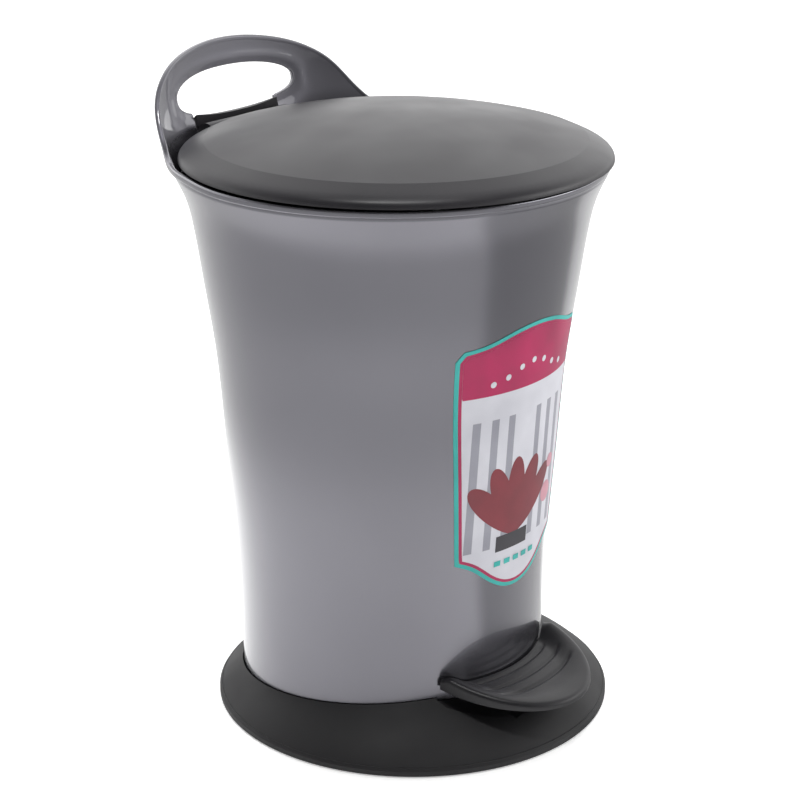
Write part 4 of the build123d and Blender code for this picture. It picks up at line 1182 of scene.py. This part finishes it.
@dataclass
class Studio:
    """Pale floor, soft studio lights and the camera at the photograph's angle."""

    camera_mm: Point3 = (-839.1, -704.1, 560.4)
    look: Point3 = (0.7233, 0.6018, -0.3386)
    lens_mm: float = 96.1
    sensor_mm: float = 36.0
    clip_start_m: float = 0.05
    soft_boxes: Sequence[SoftBox] = (
        SoftBox("top_box", (0.5, 0.5, 1.6), (1.4, 1.4), 16.0, mirrored=False),
        SoftBox("strip_box", (-0.34, -0.28, 1.6), (0.5, 0.12), 7.0, mirrored=True),
        SoftBox("front_box", (0.75, -1.2, 0.62), (1.1, 0.6), 5.0, mirrored=True),
    )
    aim_m: Point3 = (0.0, 0.0, 0.17)
    floor_half_m: float = 6.0
    floor_glow: float = 0.42
    paper_roughness: float = 0.9
    paper_specular: float = 0.1
    flag_height_m: float = 0.0004
    air_strength: float = 1.6
    dim_direction: Point3 = (-0.55, -0.46, 0.70)
    dim_cosines: Point2 = (-0.02, 0.55)
    dim_strength: float = 0.12
    far_floor_m: Point2 = (0.24, 0.5)
    far_floor_share: float = 0.55
    dark_direction: Point3 = (0.66, -0.75, 0.0)
    dark_cosines: Point2 = (0.75, 0.86)
    dark_share: float = 0.5
    dark_end_m: Point2 = (0.6, 0.95)

    def add_light(self, box: SoftBox) -> None:
        """Adds a soft box that faces the bin.

        Args:
            box: the light.
        """
        data = bpy.data.lights.new(box.name, "AREA")
        data.shape = "RECTANGLE"
        data.size, data.size_y = box.size_m
        data.energy = box.watts
        lamp = bpy.data.objects.new(box.name, data)
        lamp.location = box.at_m
        ahead = Vector(self.aim_m) - Vector(box.at_m)
        lamp.rotation_euler = ahead.to_track_quat("-Z", "Y").to_euler()
        lamp.visible_glossy = box.mirrored
        bpy.context.scene.collection.objects.link(lamp)

    def add_sheet(self, name: str, height_m: float) -> Tuple[bpy.types.Object, bpy.types.Material]:
        """Adds a level sheet of pale paper that glows a little, as a lit table does.

        Args:
            name: name of the sheet.
            height_m: its height.
        Returns:
            The sheet and its material.
        """
        half = self.floor_half_m
        corners = [(x, y, height_m) for x, y in ((-half, -half), (half, -half), (half, half), (-half, half))]
        mesh = bpy.data.meshes.new(name)
        mesh.from_pydata(corners, [], [(0, 1, 2, 3)])
        sheet = bpy.data.objects.new(name, mesh)
        bpy.context.scene.collection.objects.link(sheet)
        paper = bpy.data.materials.new(name + "_paper")
        paper.use_nodes = True
        shader = paper.node_tree.nodes["Principled BSDF"]
        shader.inputs["Base Color"].default_value = linear(WHITE)
        shader.inputs["Emission Color"].default_value = linear(WHITE)
        shader.inputs["Emission Strength"].default_value = self.floor_glow
        shader.inputs["Roughness"].default_value = self.paper_roughness
        shader.inputs["Specular IOR Level"].default_value = self.paper_specular
        mesh.materials.append(paper)
        return sheet, paper

    def build_floor(self) -> None:
        """Makes the floor, and a grey flag over it that only reflections show, as past a table's edge."""
        self.add_sheet("studio_floor", 0.0)
        flag, paper = self.add_sheet("studio_flag", self.flag_height_m)
        flag.visible_camera = flag.visible_diffuse = flag.visible_shadow = flag.visible_transmission = False
        tree = paper.node_tree
        shader = tree.nodes["Principled BSDF"]
        place = add_node(tree, "ShaderNodeTexCoord", {}, {}).outputs["Object"]
        reach = add_node(tree, "ShaderNodeVectorMath", {"operation": "LENGTH"}, {0: place}).outputs["Value"]
        heading = add_node(tree, "ShaderNodeVectorMath", {"operation": "NORMALIZE"}, {0: place})
        product = {"operation": "DOT_PRODUCT", 1: self.dark_direction}
        facing = add_node(tree, "ShaderNodeVectorMath", product, {0: heading.outputs["Vector"]})
        shares = []
        for value, (start, end), (near, far) in (
            (reach, self.far_floor_m, (1.0, self.far_floor_share)),
            (facing.outputs["Value"], self.dark_cosines, (1.0, self.dark_share)),
            (reach, self.dark_end_m, (0.0, 1.0)),
        ):
            limits = {"From Min": start, "From Max": end, "To Min": near, "To Max": far}
            smooth = {"interpolation_type": "SMOOTHSTEP", **limits}
            shares.append(add_node(tree, "ShaderNodeMapRange", smooth, {"Value": value}).outputs["Result"])
        away, side, past = shares
        lifted = add_node(tree, "ShaderNodeMath", {"operation": "MAXIMUM"}, {0: side, 1: past})
        tones = {0: away, 1: lifted.outputs["Value"]}
        tone = add_node(tree, "ShaderNodeMath", {"operation": "MULTIPLY"}, tones).outputs["Value"]
        tree.links.new(tone, shader.inputs["Base Color"])
        tree.links.new(tone, shader.inputs["Emission Color"])

    def build_air(self) -> None:
        """Makes the bright surroundings, dimmer above and behind the camera."""
        world = bpy.data.worlds.new("studio_air")
        bpy.context.scene.world = world
        world.use_nodes = True
        tree = world.node_tree
        toward = add_node(tree, "ShaderNodeTexCoord", {}, {}).outputs["Generated"]
        product = {"operation": "DOT_PRODUCT", 1: self.dim_direction}
        facing = add_node(tree, "ShaderNodeVectorMath", product, {0: toward}).outputs["Value"]
        limits = {
            "interpolation_type": "SMOOTHSTEP",
            "From Min": self.dim_cosines[0],
            "From Max": self.dim_cosines[1],
            "To Min": self.air_strength,
            "To Max": self.dim_strength,
        }
        strength = add_node(tree, "ShaderNodeMapRange", limits, {"Value": facing}).outputs["Result"]
        tree.links.new(strength, tree.nodes["Background"].inputs["Strength"])
        tree.nodes["Background"].inputs["Color"].default_value = linear(WHITE)

    def build_camera(self) -> None:
        """Makes the camera."""
        lens = bpy.data.cameras.new("photo_camera")
        lens.lens = self.lens_mm
        lens.sensor_width = self.sensor_mm
        lens.clip_start = self.clip_start_m
        camera = bpy.data.objects.new("photo_camera", lens)
        camera.location = Vector(self.camera_mm) * MM
        camera.rotation_euler = Vector(self.look).to_track_quat("-Z", "Y").to_euler()
        bpy.context.scene.collection.objects.link(camera)
        bpy.context.scene.camera = camera
        bpy.context.scene.view_settings.view_transform = "Standard"

    def build(self) -> None:
        """Makes the floor, surroundings, lights and camera."""
        self.build_floor()
        self.build_air()
        self.build_camera()
        for box in self.soft_boxes:
            self.add_light(box)


NODE_FINISHES: Dict[str, Finish] = {
    "base_plinth": COARSE_BLACK, "foot_ring": FOOT_RUBBER, "base_screws": ZINC_STEEL,
    "inner_bucket": SATIN_BLACK, "bail_wire": ZINC_STEEL, "bail_grip": NATURAL_ACETAL,
    "pedal_lever": ERODED_BLACK, "pedal_axle": ZINC_STEEL, "axle_clips": ZINC_STEEL,
    "pedal_screws": ZINC_STEEL, "push_rod": ZINC_STEEL, "rod_foot": NATURAL_ACETAL,
    "rod_tip": NATURAL_ACETAL, "rod_bush": NATURAL_ACETAL, "rod_guide": NATURAL_ACETAL,
    "lid_shell": ERODED_LID, "lid_bumpers": FOOT_RUBBER, "hinge_pin": ZINC_STEEL, "hinge_clips": ZINC_STEEL,
}


def main() -> None:
    """Builds the studio and every sub-assembly."""
    logging.basicConfig(level=logging.INFO, format="%(message)s")
    Studio().build()
    body = OuterBody()
    body.build()
    Pedal().build()
    Sticker(body).build()
    for node, finish in NODE_FINISHES.items():
        dress(node, finish)
    bpy.context.view_layer.update()


if __name__ == "__main__":
    main()
